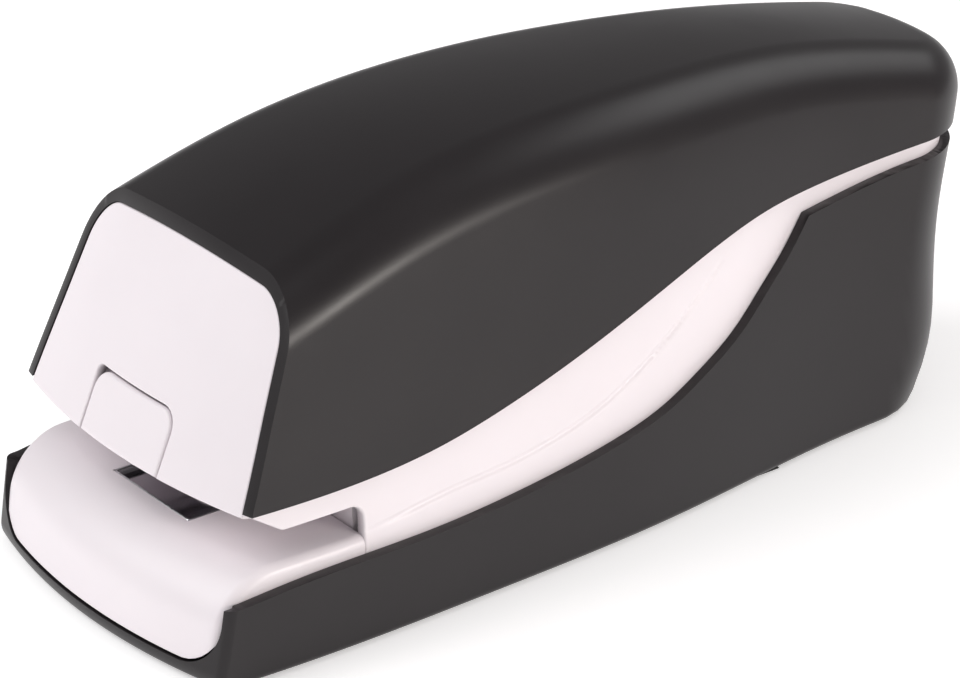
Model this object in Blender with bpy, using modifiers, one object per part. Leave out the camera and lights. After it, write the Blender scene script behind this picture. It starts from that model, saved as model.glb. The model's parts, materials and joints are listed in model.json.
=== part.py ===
"""Battery-powered electric desktop stapler, modelled at rest in metres.

+Z is up, the paper throat faces -Y, and the origin is under the middle of the
stapler on the surface it stands on. Working sizes below are in millimetres and
every mesh is scaled to metres when it is made.
"""
import math

import bmesh
import bpy
import numpy as np
from mathutils import Matrix

MM = 0.001
MERGE = 0.0001
RAY = 150.0              # longer than any section is wide

# ---------------------------------------------------------------- outer form
# Half width of the body in plan at five stations, at table height.
PLAN_Y = (-94.0, -69.5, -30.5, 8.5, 48.0, 87.0)
PLAN_HALF = (31.7, 33.5, 33.5, 31.7, 27.0, 26.2)
# How far the side walls lean in with height.
LEAN_Z = (0.0, 15.6, 29.3, 45.0, 60.6, 76.3)
LEAN_X = (0.0, 0.3, -0.95, -3.6, -6.4, -11.0)
# Height of the roof's centre line.
ROOF_Y = (-66.7, -40.3, -10.9, 18.4, 47.8, 86.9)
ROOF_Z = (63.3, 70.9, 74.0, 73.3, 70.3, 61.9)
# Reach of the rear wall.
REAR_Z = (0.0, 9.8, 21.5, 34.2, 48.9, 64.5)
REAR_Y = (76.8, 80.5, 81.3, 82.7, 87.1, 90.8)
ROOF_CROWN = 0.0042      # fall of the roof per square millimetre from the middle
REAR_BOW = 0.0063        # the same for the rear wall
WALL_SLOPE = 0.985
CORNER_R = 12.3          # vertical rear corners
SHOULDER_R = 7.5         # roof to side
BOTTOM_R = 1.4
FOOT_H = 0.4             # the shell's floor clears the table by this much

FACE_Y, FACE_Z, FACE_LEAN, FACE_BOW = -80.5, 29.7, 0.441, 0.0039    # leaning head front
NOSE_Y, NOSE_LEAN, NOSE_BOW, NOSE_R = -88.75, 0.17, 0.0042, 1.2     # front of the base
NOSE_CUT = 0.8           # depth of the soft chamfer under it

WALL = 1.7               # black shells
GAP = 0.3                # between neighbouring pieces
WHITE_INSET = WALL + 0.4
WHITE_WALL = 1.8

COVER_EDGE = ((-78, 28.7), (-55, 28.9), (-41, 30.1), (-29, 32.3), (-7.5, 37.8),
              (10, 42.8), (23, 46.0), (33, 47.7), (45, 48.5), (80, 49.4))
RIM_FRONT = ((-82, 14.0), (-68, 15.3), (-44, 15.6), (-33, 16.0), (-20, 17.1), (-3, 19.4),
             (6, 21.4), (15.7, 25.1), (25.2, 29.8), (31.5, 34.3), (38.4, 39.5), (43, 43.9))
RIM_REAR = ((43, 43.9), (52.6, 44.7), (62.4, 45.5), (80, 46.2))
RIM_CORNER_Y = 43.0

# ------------------------------------------------------------ throat and deck
DECK_Z = 18.5
DECK_REAR_Y = -55.7
DECK_SKIRT_Z = 10.6
DECK_ROLL_R = 9.0         # the deck rolls over the nose
DECK_CLEARANCE = 0.65     # more room beside the deck than beside the other white casings
LIP_BOTTOM, LIP_CORNER_R, LIP_HALF = 3.3, 8.2, 31.6
LIP_GAP = 1.8             # between the white lip and the shell's front edge
CEILING_Z = 24.0
CHAMFER_REAR_Y, CHAMFER_FRONT_Y, CHAMFER_Z = -70.5, -78.5, 27.9
FACE_BOTTOM_Z = 28.0
WELL = (11.0, -74.7, -60.0)          # half width, front and rear of the clincher well

# --------------------------------------------------------- magazine and drive
TAB_HALF, TAB_TOP_Z, TAB_CORNER_R = 10.8, 37.9, 3.0
DRAWER_HALF, DRAWER_FLOOR_Z, DRAWER_TOP_Z = 7.6, 25.2, 33.6
DRAWER_FRONT_Y, DRAWER_REAR_Y = -74.8, 15.5
SHEET = 0.6
BLADE_Y, BLADE_HALF, BLADE_BOTTOM_Z, BLADE_TOP_Z = -67.0, 6.3, 34.1, 50.0
STRIP_FRONT_Y, STRIP_REAR_Y = -66.3, -20.0
PIVOT = (22.0, 34.0)                 # y, z of the pin that carries the arm and the magazine guide
CHASSIS_X, CHASSIS_T = 10.5, 1.0
CRANK = (-6.0, 51.7)
CAM_R, CAM_THROW = 5.5, 2.1
ARM_WEB_Z = 46.5
STEEL = 1.2
AXLE_R, SHAFT_R = 1.5, 3.0
MOTOR_R, MOTOR_FLAT, MOTOR_HALF = 10.0, 7.7, 9.6
GUIDE_HALF, GUIDE_FRONT_Y, GUIDE_REAR_Y, GUIDE_WALL = 10.2, -70.6, -60.0, 0.9
TONGUE_HALF, TONGUE_FRONT_Y = 3.0, -68.2
RUNNING = 0.06           # radial play of a bore on its pin
FIT = 0.05               # the same for a bore that turns with its shaft
LAYER_INNER, LAYER_OUTER, FACE_WIDTH = 12.0, 15.0, 2.6   # gear planes outside the right plate
BACKLASH = 0.15
TRAIN = (   # driver teeth, driven teeth, module, direction of the driver from the driven gear
    (10, 26, 1.0, 10.0),
    (10, 30, 0.8, -15.0),
    (10, 30, 0.6, -20.0),
)

# --------------------------------------------------------------- battery bay
CELL_R, CELL_LENGTH, CELL_Z = 7.15, 49.2, 10.9
BAY_HALF, BAY_FRONT_Y, BAY_REAR_Y, BAY_TOP_Z = 22.6, -37.5, 65.4, 19.0
DOOR_HALF, DOOR_FRONT_Y, DOOR_LIP_Z = 23.6, -39.0, 9.0

# ------------------------------------------------------------ small fittings
SCREW_HEAD_R, SCREW_SHANK_R, SCREW_LENGTH = 2.2, 1.1, 12.0
SCREW_PLACES = ((-27.0, -56.0), (27.0, -56.0), (-27.2, -6.0), (27.2, -6.0))
INLET_X, INLET_Z, INLET_R, INLET_DEPTH = -12.0, 30.0, 4.0, 11.0
TRIGGER_X, TRIGGER_SLOT_HALF = 14.0, 1.7
TRIGGER_PIVOT = (-57.0, 31.0)        # y, z
FEET = (   # name, middle x and y, half sizes along x and y
    ("foot_front_left", -21.0, -68.0, 9.0, 4.5),
    ("foot_front_right", 21.0, -68.0, 9.0, 4.5),
    ("foot_rear_left", -25.9, 28.0, 1.9, 7.0),
    ("foot_rear_right", 25.9, 28.0, 1.9, 7.0),
)


# ------------------------------------------------------------------ functions
def natural_spline(points_x, points_y):
    """A natural cubic through the points, straight beyond its ends."""
    x = np.array(points_x, float)
    y = np.array(points_y, float)
    step = np.diff(x)
    slope = np.diff(y) / step
    count = len(x)
    system = np.eye(count)
    right = np.zeros(count)
    for i in range(1, count - 1):
        system[i, i - 1:i + 2] = step[i - 1], 2 * (step[i - 1] + step[i]), step[i]
        right[i] = 6 * (slope[i] - slope[i - 1])
    bend = np.linalg.solve(system, right)

    def value(at):
        at = np.asarray(at, float)
        inside = np.clip(at, x[0], x[-1])
        i = np.clip(np.searchsorted(x, inside) - 1, 0, count - 2)
        h, a, b = step[i], x[i + 1] - inside, inside - x[i]
        found = (bend[i] * a ** 3 + bend[i + 1] * b ** 3) / (6 * h)
        found += (y[i] / h - bend[i] * h / 6) * a + (y[i + 1] / h - bend[i + 1] * h / 6) * b
        first = slope[0] - bend[1] * step[0] / 6
        last = slope[-1] + bend[-2] * step[-1] / 6
        return found + np.minimum(at - x[0], 0) * first + np.maximum(at - x[-1], 0) * last
    return value


half_width = natural_spline(PLAN_Y, PLAN_HALF)
lean_in = natural_spline(LEAN_Z, LEAN_X)
roof_height = natural_spline(ROOF_Y, ROOF_Z)
rear_reach = natural_spline(REAR_Z, REAR_Y)
cover_edge = natural_spline(*zip(*COVER_EDGE))
rim_front = natural_spline(*zip(*RIM_FRONT))
rim_rear = natural_spline(*zip(*RIM_REAR))


def rim_edge(y):
    """Height of the base shell's rim along its side."""
    return np.where(np.asarray(y, float) < RIM_CORNER_Y, rim_front(y), rim_rear(y))


def face_y(x, z):
    """The head's leaning, slightly bowed front."""
    return FACE_Y + (z - FACE_Z) * FACE_LEAN + FACE_BOW * np.square(x)


def nose_y(x, z):
    """The front of the base."""
    return NOSE_Y + NOSE_LEAN * z + NOSE_BOW * np.square(x)


def fillet(a, b, radius):
    """Intersection of two distance fields with a rounded edge."""
    corner = np.hypot(np.maximum(a + radius, 0), np.maximum(b + radius, 0))
    return np.minimum(np.maximum(a, b), -radius) + corner


def side_field(p):
    return (np.abs(p[..., 0]) - half_width(p[..., 1]) - lean_in(p[..., 2])) * WALL_SLOPE


def body_field(p):
    """Signed distance to the whole outer form, in millimetres."""
    x, y, z = np.abs(p[..., 0]), p[..., 1], p[..., 2]
    roof = (z - roof_height(y) + ROOF_CROWN * x ** 2) * WALL_SLOPE
    rear = y - rear_reach(z) + REAR_BOW * x ** 2
    shape = fillet(side_field(p), rear, CORNER_R)
    shape = fillet(shape, roof, SHOULDER_R)
    return fillet(shape, FOOT_H - z, BOTTOM_R)


def base_field(p):
    ahead = nose_y(p[..., 0], p[..., 2]) - p[..., 1]
    shape = fillet(body_field(p), ahead, NOSE_R)
    return fillet(shape, (ahead + FOOT_H - p[..., 2]) * math.sqrt(0.5) + NOSE_CUT, NOSE_R)


def deck_field(p):
    x, y, z = p[..., 0], p[..., 1], p[..., 2]
    roll = fillet(z - DECK_Z, nose_y(x, z) + GAP - y, DECK_ROLL_R)
    lip = fillet(roll, LIP_BOTTOM + LIP_GAP - z, 2.0)
    return fillet(side_field(p) + WHITE_INSET + DECK_CLEARANCE, lip, 1.6)


def root_along(field, path, reach):
    """First zero of the field along each path, found by halving."""
    low = np.zeros(reach.shape)
    high = reach.copy()
    for _ in range(40):
        middle = (low + high) / 2
        inside = field(path(middle)) < 0
        low = np.where(inside, middle, low)
        high = np.where(inside, high, middle)
    return path(low)


def spread(points, count, bend_weight=9.0):
    """Fractions along a dense curve that give short steps where it bends."""
    step = np.diff(points, axis=0)
    length = np.linalg.norm(step, axis=1)
    unit = step / length[:, None]
    turn = np.arccos(np.clip((unit[1:] * unit[:-1]).sum(axis=1), -1, 1))
    cost = length.copy()
    cost[1:] += bend_weight * turn / 2
    cost[:-1] += bend_weight * turn / 2
    total = np.concatenate([[0], np.cumsum(cost)])
    return np.interp(np.linspace(0, total[-1], count), total, np.linspace(0, 1, len(total)))


def fan_row(field, core, toward, bow, count):
    """A half section, from the +X side to the middle, where rays from the core meet the field."""
    core = np.array(core, float)
    toward = np.array(toward, float) / np.linalg.norm(toward)
    edge = root_along(field, lambda r: core + np.outer(r, (1, 0, 0)), np.full(1, RAY))[0, 0]

    def cast(angles):
        def path(r):
            p = core + np.outer(r * np.cos(angles), (1, 0, 0)) + np.outer(r * np.sin(angles), toward)
            p[:, 1] += bow * (p[:, 0] ** 2 - edge ** 2)
            return p
        return root_along(field, path, np.full(len(angles), RAY))

    dense = np.linspace(0, math.pi / 2, 160)
    chosen = np.interp(spread(cast(dense), count), np.linspace(0, 1, len(dense)), dense)
    row = cast(chosen)
    row[-1, 0] = 0
    return row


def settle(field, points):
    """Moves points onto the field's surface along its slope."""
    p = points.copy()
    small = 1e-3
    for _ in range(12):
        here = field(p)
        slope = np.stack([(field(p + d) - here) / small for d in np.eye(3) * small], axis=-1)
        p -= (here / np.maximum((slope ** 2).sum(axis=-1), 0.2))[..., None] * slope
    return p


def direction(degrees, up):
    """A unit vector in the YZ plane, 90 degrees being straight up or down and 0 straight back."""
    angle = math.radians(degrees)
    return (0.0, math.cos(angle), up * math.sin(angle))


# --------------------------------------------------------------- mesh helpers
def clear_scene():
    for obj in list(bpy.data.objects):
        bpy.data.objects.remove(obj)


clear_scene()
PARTS = bpy.data.collections.new("electric_stapler")
CUTTERS = bpy.data.collections.new("cutters")
for collection in (PARTS, CUTTERS):
    bpy.context.scene.collection.children.link(collection)


def material(name, color, roughness, metallic=0.0):
    made = bpy.data.materials.new(name)
    made.use_nodes = True
    shader = made.node_tree.nodes["Principled BSDF"]
    shader.inputs["Base Color"].default_value = (*color, 1.0)
    shader.inputs["Roughness"].default_value = roughness
    shader.inputs["Metallic"].default_value = metallic
    made.diffuse_color = (*color, 1.0)
    return made


BLACK = material("black_plastic", (0.045, 0.042, 0.042), 0.38)
WHITE = material("white_plastic", (0.86, 0.83, 0.85), 0.32)
RUBBER = material("rubber", (0.03, 0.03, 0.03), 0.85)
STEEL_MAT = material("bright_steel", (0.62, 0.62, 0.64), 0.3, 1.0)
STAPLE_MAT = material("staple_wire", (0.75, 0.75, 0.77), 0.25, 1.0)
BRASS = material("brass", (0.72, 0.55, 0.25), 0.3, 1.0)
ACETAL = material("gear_plastic", (0.80, 0.80, 0.76), 0.45)
GREY_PLASTIC = material("grey_plastic", (0.20, 0.20, 0.21), 0.5)
BOARD = material("board_green", (0.05, 0.20, 0.09), 0.4)
CELL_MAT = material("cell_jacket", (0.16, 0.30, 0.42), 0.35)


def add_object(name, mesh, finish, smooth=35.0):
    obj = bpy.data.objects.new(name, mesh)
    if finish is None:
        CUTTERS.objects.link(obj)
        obj.hide_render = True
        obj.display_type = "WIRE"
        return obj
    PARTS.objects.link(obj)
    mesh.materials.append(finish)
    mesh.shade_smooth()
    mesh.set_sharp_from_angle(angle=math.radians(smooth))
    return obj


def finish_bmesh(name, bm, finish):
    bmesh.ops.scale(bm, vec=(MM, MM, MM), verts=bm.verts)
    bmesh.ops.recalc_face_normals(bm, faces=bm.faces)
    mesh = bpy.data.meshes.new(name)
    bm.to_mesh(mesh)
    bm.free()
    return add_object(name, mesh, finish)


def bevel(obj, width, segments=2, angle=40.0):
    made = obj.modifiers.new("Bevel", "BEVEL")
    made.width = width * MM
    made.segments = segments
    made.limit_method = "ANGLE"
    made.angle_limit = math.radians(angle)
    return obj


def box(name, finish, low, high, rounding=0.0, segments=1):
    """A box between two corners."""
    bm = bmesh.new()
    bmesh.ops.create_cube(bm, size=1.0)
    low, high = np.array(low, float), np.array(high, float)
    bmesh.ops.scale(bm, vec=high - low, verts=bm.verts)
    bmesh.ops.translate(bm, vec=(low + high) / 2, verts=bm.verts)
    obj = finish_bmesh(name, bm, finish)
    return bevel(obj, rounding, segments) if rounding else obj


def axis_matrix(axis):
    """Turns +Z to the named axis."""
    return {"X": Matrix.Rotation(math.pi / 2, 4, "Y"), "Y": Matrix.Rotation(-math.pi / 2, 4, "X"),
            "Z": Matrix.Identity(4)}[axis]


def rod(name, finish, axis, start, length, radius, sides=20, tip=None):
    """A cylinder or cone from start along +axis."""
    bm = bmesh.new()
    bmesh.ops.create_cone(bm, cap_ends=True, segments=sides, radius1=radius,
                          radius2=radius if tip is None else tip, depth=length)
    bmesh.ops.translate(bm, vec=(0, 0, length / 2), verts=bm.verts)
    bmesh.ops.transform(bm, matrix=Matrix.Translation(start) @ axis_matrix(axis), verts=bm.verts)
    return finish_bmesh(name, bm, finish)


def outline_mesh(name, loops, thickness):
    """A flat plate in the XY plane from closed outlines, holes included, centred on Z."""
    curve = bpy.data.curves.new(name, "CURVE")
    curve.dimensions = "2D"
    curve.fill_mode = "BOTH"
    curve.extrude = thickness / 2
    for loop in loops:
        spline = curve.splines.new("POLY")
        spline.points.add(len(loop) - 1)
        for point, (u, v) in zip(spline.points, loop):
            point.co = (u, v, 0, 1)
        spline.use_cyclic_u = True
    guide = bpy.data.objects.new(name + "_outline", curve)
    CUTTERS.objects.link(guide)
    bpy.context.view_layer.update()
    evaluated = guide.evaluated_get(bpy.context.evaluated_depsgraph_get())
    mesh = bpy.data.meshes.new_from_object(evaluated)
    bpy.data.objects.remove(guide)
    bpy.data.curves.remove(curve)
    bm = bmesh.new()
    bm.from_mesh(mesh)
    bpy.data.meshes.remove(mesh)
    bmesh.ops.remove_doubles(bm, verts=bm.verts, dist=1e-4)
    return bm


PLATE_AXES = {
    "X": Matrix(((0, 0, 1, 0), (1, 0, 0, 0), (0, 1, 0, 0), (0, 0, 0, 1))),    # outline in (y, z)
    "Y": Matrix(((1, 0, 0, 0), (0, 0, 1, 0), (0, 1, 0, 0), (0, 0, 0, 1))),    # outline in (x, z)
    "Z": Matrix.Identity(4),                                                   # outline in (x, y)
}


def plate(name, finish, axis, low, high, *loops):
    """A flat piece between two places on an axis, outlined in the other two axes."""
    bm = outline_mesh(name, loops, high - low)
    bmesh.ops.translate(bm, vec=(0, 0, (low + high) / 2), verts=bm.verts)
    bmesh.ops.transform(bm, matrix=PLATE_AXES[axis], verts=bm.verts)
    return finish_bmesh(name, bm, finish)


def ring(centre, radius, sides=20):
    return [(centre[0] + radius * math.cos(a), centre[1] + radius * math.sin(a))
            for a in np.linspace(0, 2 * math.pi, sides, endpoint=False)]


def rectangle(low_u, low_v, high_u, high_v):
    return [(low_u, low_v), (high_u, low_v), (high_u, high_v), (low_u, high_v)]


def turned(name, finish, axis, place, profile, steps=20):
    """A turned piece: (radius, height) points running down the outer side."""
    bm = bmesh.new()
    verts = [bm.verts.new((r * MM, 0, h * MM)) for r, h in profile]
    for a, b in zip(verts, verts[1:]):
        bm.edges.new((a, b))
    mesh = bpy.data.meshes.new(name)
    bm.to_mesh(mesh)
    bm.free()
    obj = bpy.data.objects.new(name, mesh)
    PARTS.objects.link(obj)
    mesh.materials.append(finish)
    obj.matrix_world = Matrix.Translation([c * MM for c in place]) @ axis_matrix(axis)
    made = obj.modifiers.new("Screw", "SCREW")
    made.steps = steps
    made.render_steps = steps
    made.use_merge_vertices = True
    made.merge_threshold = 1e-6
    made.use_smooth_shade = False
    return obj


def wire(name, finish, points, radius, resolution=1):
    """A round wire along points in millimetres."""
    curve = bpy.data.curves.new(name, "CURVE")
    curve.dimensions = "3D"
    curve.bevel_depth = radius * MM
    curve.bevel_resolution = resolution
    curve.use_fill_caps = True
    spline = curve.splines.new("POLY")
    spline.points.add(len(points) - 1)
    for point, place in zip(spline.points, points):
        point.co = (*[c * MM for c in place], 1)
    curve.materials.append(finish)
    obj = bpy.data.objects.new(name, curve)
    PARTS.objects.link(obj)
    return obj


def coil_points(start, axis, radius, length, turns, per_turn=10):
    """Points of a helix that runs from start along Y or Z."""
    count = int(turns * per_turn) + 1
    found = []
    for i in range(count):
        angle = 2 * math.pi * i / per_turn
        across, up, along = radius * math.cos(angle), radius * math.sin(angle), length * i / (count - 1)
        offset = (across, along, up) if axis == "Y" else (across, up, along)
        found.append([s + o for s, o in zip(start, offset)])
    return found


def grid_mesh(name, rows, flip):
    """An open surface through rows of points."""
    bm = bmesh.new()
    verts = [[bm.verts.new(p * MM) for p in row] for row in rows]
    for upper, lower in zip(verts, verts[1:]):
        for a, b, c, d in zip(upper, upper[1:], lower[1:], lower):
            bm.faces.new((a, b, c, d) if flip else (d, c, b, a))
    mesh = bpy.data.meshes.new(name)
    bm.to_mesh(mesh)
    bm.free()
    return mesh


def skin(name, finish, rows, thickness, flip=False, mirrored=True):
    """A shell: an open surface, mirrored across the middle and thickened inwards."""
    obj = add_object(name, grid_mesh(name, rows, flip), finish)
    if mirrored:
        made = obj.modifiers.new("Mirror", "MIRROR")
        made.use_axis = (True, False, False)
        made.merge_threshold = MERGE
    made = obj.modifiers.new("Solidify", "SOLIDIFY")
    made.thickness = thickness * MM
    made.offset = -1
    made.use_even_offset = True
    return obj


def combine(obj, other, operation="DIFFERENCE"):
    made = obj.modifiers.new("Boolean", "BOOLEAN")
    made.operation = operation
    made.solver = "EXACT"
    made.object = other
    return obj


def cut_box(obj, low, high):
    return combine(obj, box(obj.name + "_cut", None, low, high))


def cut_rod(obj, axis, start, length, radius, sides=20):
    return combine(obj, rod(obj.name + "_cut", None, axis, start, length, radius, sides))


def set_origin(name, centre):
    """Puts a turning piece's origin on its axis, which runs along X through (y, z)."""
    obj = bpy.data.objects[name]
    shift = Matrix.Translation((0, centre[0] * MM, centre[1] * MM))
    obj.data.transform(shift.inverted())
    obj.location = shift.translation


# ------------------------------------------------------------- outer casings
def head_cover_rows(columns, inset=0.0):
    """Sections of the black cover from its front rim back and round to its rear edge."""
    def field(p):
        return body_field(p) + inset
    front_half = half_width(-77.0) + lean_in(COVER_EDGE[0][1])
    first_y = float(face_y(front_half, COVER_EDGE[0][1]))
    stations = [(first_y, 90, 1.0), (-66, 90, 0.75), (-54, 90, 0.4), (-42, 90, 0.1), (-29, 90, 0),
                (-16, 90, 0), (-3, 90, 0), (10, 90, 0), (23, 90, 0), (36, 90, 0), (48, 84, 0),
                (58, 70, 0), (65, 54, 0), (70, 37, 0), (74, 18, 0), (76, 0, 0)]
    rows = []
    for y, turn, slant in stations:
        toward = np.array(direction(turn, 1.0)) + (0, FACE_LEAN * slant, 0)
        rows.append(fan_row(field, (0, y, float(cover_edge(y))), toward, FACE_BOW * slant, columns))
    return rows


def make_top_cover():
    return skin("top_cover", BLACK, head_cover_rows(9), WALL)


def lip_row(columns):
    """The front edge of the base shell, where the white lip comes down to it."""
    top = float(rim_edge(-81.0))

    def outline(p):
        return fillet(p[..., 0] - LIP_HALF, LIP_BOTTOM - p[..., 2], LIP_CORNER_R)
    flat = fan_row(outline, (0, 0, top), (0, 0, -1), 0, columns)

    def path(r):
        return flat * (1, 0, 1) + np.outer(r, (0, -1, 0)) + (0, -60, 0)
    return root_along(base_field, path, np.full(columns, 40.0))


def base_shell_rows(columns):
    stations = [(-73, 90), (-58, 90), (-42, 90), (-26, 90), (-12, 90), (0, 90), (10, 90), (19, 90),
                (27, 90), (35, 90), (43, 90), (52, 86), (58, 77), (62, 70.5), (64, 67), (67, 60),
                (71, 42), (74.5, 20), (76, 0)]
    rows = [fan_row(base_field, (0, y, float(rim_edge(y))), direction(turn, -1.0), 0, columns)
            for y, turn in stations]
    front = lip_row(columns)
    between = [settle(base_field, front + (rows[0] - front) * t) for t in (0.22, 0.5)]
    return [front, *between, *rows]


def make_base_shell():
    rows = base_shell_rows(10)
    shell = skin("base_shell", BLACK, rows, WALL, flip=True)
    for x, y in SCREW_PLACES:
        cut_rod(shell, "Z", (x, y, -5), 12, SCREW_HEAD_R + GAP, 16)
    cut_rod(shell, "Y", (INLET_X, 70, INLET_Z), 30, INLET_R + GAP, 24)
    cut_box(shell, (-DOOR_HALF, DOOR_FRONT_Y, -5), (DOOR_HALF, 100, DOOR_LIP_Z))
    door = skin("battery_door", BLACK, rows, WALL, flip=True)
    keep = box("battery_door_keep", None, (-DOOR_HALF + GAP, DOOR_FRONT_Y + GAP, -5),
               (DOOR_HALF - GAP, 100, DOOR_LIP_Z - GAP))
    combine(door, keep, "INTERSECT")
    return shell, door


def make_base_deck():
    columns = 10
    stations = [(DECK_REAR_Y, 90), (-64, 90), (-71, 90), (-74, 104), (-76, 122), (-77.5, 145),
                (-78.5, 180)]
    rows = [fan_row(deck_field, (0, y, DECK_SKIRT_Z), direction(turn, 1.0), 0, columns)
            for y, turn in stations]
    top = DECK_SKIRT_Z

    def outline(p):
        low = LIP_BOTTOM + LIP_GAP - p[..., 2]
        return fillet(p[..., 0] - LIP_HALF + LIP_GAP, low, LIP_CORNER_R - LIP_GAP)
    flat = fan_row(outline, (0, 0, top), (0, 0, -1), 0, columns)
    lowest = flat * (1, 0, 1) + np.outer(nose_y(flat[:, 0], flat[:, 2]) + GAP, (0, 1, 0))
    lowest[:, 1] = np.maximum(lowest[:, 1], rows[-1][:, 1] - 1)
    rows.append(lowest)
    deck = skin("base_deck", WHITE, rows, WHITE_WALL, flip=True)
    half, front, rear = WELL
    cut_box(deck, (-half, front, 10), (half, rear, 30))
    return deck


def housing_rows():
    """The white side wall from the head's front, round the rear corner to the middle."""
    heights = np.linspace(0, 1, 4)
    tuck = np.array((0.5, 0, 0, 0.5))

    def field(p):
        return body_field(p) + WHITE_INSET + tuck
    places = [(-76, 1.0), (-72.7, 0.7), (CHAMFER_REAR_Y, 0.4), (-63, 0)]
    places += [(y, 0) for y in (DECK_REAR_Y - 0.3, DECK_REAR_Y + 0.3, -44, -31, -18, -6, 5, 15, 24, 32,
                                39, RIM_CORNER_Y, 52, 62)]
    rows = []
    for y, slant in places:
        low, high = housing_band(y)
        z = low + (high - low) * heights
        start = np.stack([np.zeros(4), y + slant * FACE_LEAN * (z - low), z], axis=-1)
        if y == places[0][0]:
            start[:, 1] = face_y(28.0, z) + WHITE_WALL + 1.1
        rows.append(root_along(field, lambda r, s=start: s + np.outer(r, (1, 0, 0)), np.full(4, 60.0)))
    low, high = housing_band(75)
    z = low + (high - low) * heights
    start = np.stack([np.zeros(4), np.full(4, 62.0), z], axis=-1)
    for angle in np.radians((14, 28, 40, 52, 66, 78, 90)):
        toward = (math.cos(angle), math.sin(angle), 0)
        row = root_along(field, lambda r, s=start, t=toward: s + np.outer(r, t), np.full(4, 60.0))
        row[:, 0] = np.maximum(row[:, 0], GAP / 2)
        rows.append(row)
    return rows


def housing_band(y):
    """Lowest and highest edge of the white side wall at a station."""
    high = float(cover_edge(y)) + 4.0
    if y > DECK_REAR_Y:
        return float(rim_edge(y)) - 4.0, high
    if y > CHAMFER_REAR_Y:
        return CEILING_Z, high
    rise = (CHAMFER_REAR_Y - y) / (CHAMFER_REAR_Y - CHAMFER_FRONT_Y)
    return CEILING_Z + (CHAMFER_Z - CEILING_Z) * rise, high


def make_housings():
    rows = housing_rows()
    skin("housing_right", WHITE, rows, WHITE_WALL, flip=False, mirrored=False)
    mirrored = [row * (-1, 1, 1) for row in rows]
    skin("housing_left", WHITE, mirrored, WHITE_WALL, flip=True, mirrored=False)


def make_front_fascia():
    """The white convex front of the head, set just inside the cover's rim."""
    def field(p):
        return body_field(p) + WHITE_INSET + 0.1
    start_y = float(face_y(half_width(-77.0) - 3, FACE_BOTTOM_Z)) + GAP
    outer = fan_row(field, (0, start_y, FACE_BOTTOM_Z), (0, FACE_LEAN, 1), FACE_BOW, 12)
    rings = []
    for share in (1.0, 0.8, 0.6, 0.4, 0.2, 0.03):
        points = outer * (share, 1, 1)
        points[:, 2] = FACE_BOTTOM_Z + (outer[:, 2] - FACE_BOTTOM_Z) * share
        points[:, 1] = face_y(points[:, 0], points[:, 2]) + GAP
        rings.append(points)
    fascia = skin("front_fascia", WHITE, rings, WHITE_WALL, flip=True)
    notch = tab_outline(GAP, FACE_BOTTOM_Z - 5)
    combine(fascia, plate("front_fascia_cut", None, "Y", -95, -60, notch))
    return fascia


def tab_outline(grow, bottom):
    """Outline of the magazine's front tab in the XZ plane, with round upper corners."""
    half, top, radius = TAB_HALF + grow, TAB_TOP_Z + grow, TAB_CORNER_R + grow
    points = [(-half, bottom), (half, bottom)]
    for side, first in ((1, 0), (-1, 90)):
        for step in range(4):
            angle = math.radians(first + 30 * step)
            points.append((side * (half - radius) + radius * math.cos(angle),
                           top - radius + radius * math.sin(angle)))
    return points


def make_throat_liner():
    """Ceiling of the paper throat, with its lead-in chamfer, and the wall that stops the paper."""
    slope = (CHAMFER_Z - CEILING_Z) / (CHAMFER_REAR_Y - CHAMFER_FRONT_Y)
    profile = [(CHAMFER_REAR_Y, CEILING_Z), (DECK_REAR_Y - 2, CEILING_Z),
               (DECK_REAR_Y + GAP, CEILING_Z - 1.6), (DECK_REAR_Y + GAP, 14.5)]
    shares = np.array((1.0, 0.78, 0.54, 0.28, 0.0))
    half = float(half_width(-76) + lean_in(26)) - WHITE_INSET - WHITE_WALL - 1.2
    front_y = face_y(half * shares, CHAMFER_Z) + 3.0
    rows = [np.stack([half * shares, front_y, CEILING_Z + (CHAMFER_REAR_Y - front_y) * slope], axis=-1)]
    for y, z in profile:
        half = float(half_width(y) + lean_in(z)) - WHITE_INSET - WHITE_WALL - 1.7
        rows.append(np.stack([half * shares, np.full(5, float(y)), np.full(5, float(z))], axis=-1))
    liner = skin("throat_liner", WHITE, rows, 1.4, flip=True)
    cut_box(liner, (-9.7, -95, 19.0), (9.7, -40, 32))
    cut_box(liner, (-11.4, -95, 19.0), (11.4, -74.0, 32))
    x, half = TRIGGER_X, TRIGGER_SLOT_HALF
    cut_box(liner, (x - half, -61.5, 19.4), (x + half, -40, 32))
    return liner


# ------------------------------------------------------------ small fittings
def make_feet():
    for name, x, y, half_x, half_y in FEET:
        low, high = (x - half_x, y - half_y, 0), (x + half_x, y + half_y, FOOT_H - 0.1)
        box(name, RUBBER, low, high, 0.3, 1)


def make_screws():
    """Self-tapping screws: a round head with a blind recess on a plain shank."""
    head, shank, top = SCREW_HEAD_R, SCREW_SHANK_R, SCREW_LENGTH
    profile = [(0, top), (shank * 0.4, top), (shank, top - 1), (shank, 1.6), (head, 1.2), (head, 0.2),
               (head - 0.3, 0), (0.8, 0), (0.8, 0.7), (0, 0.7)]
    for number, (x, y) in enumerate(SCREW_PLACES, 1):
        turned(f"base_screw_{number}", STEEL_MAT, "Z", (x, y, 1.2), profile, 12)


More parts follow.
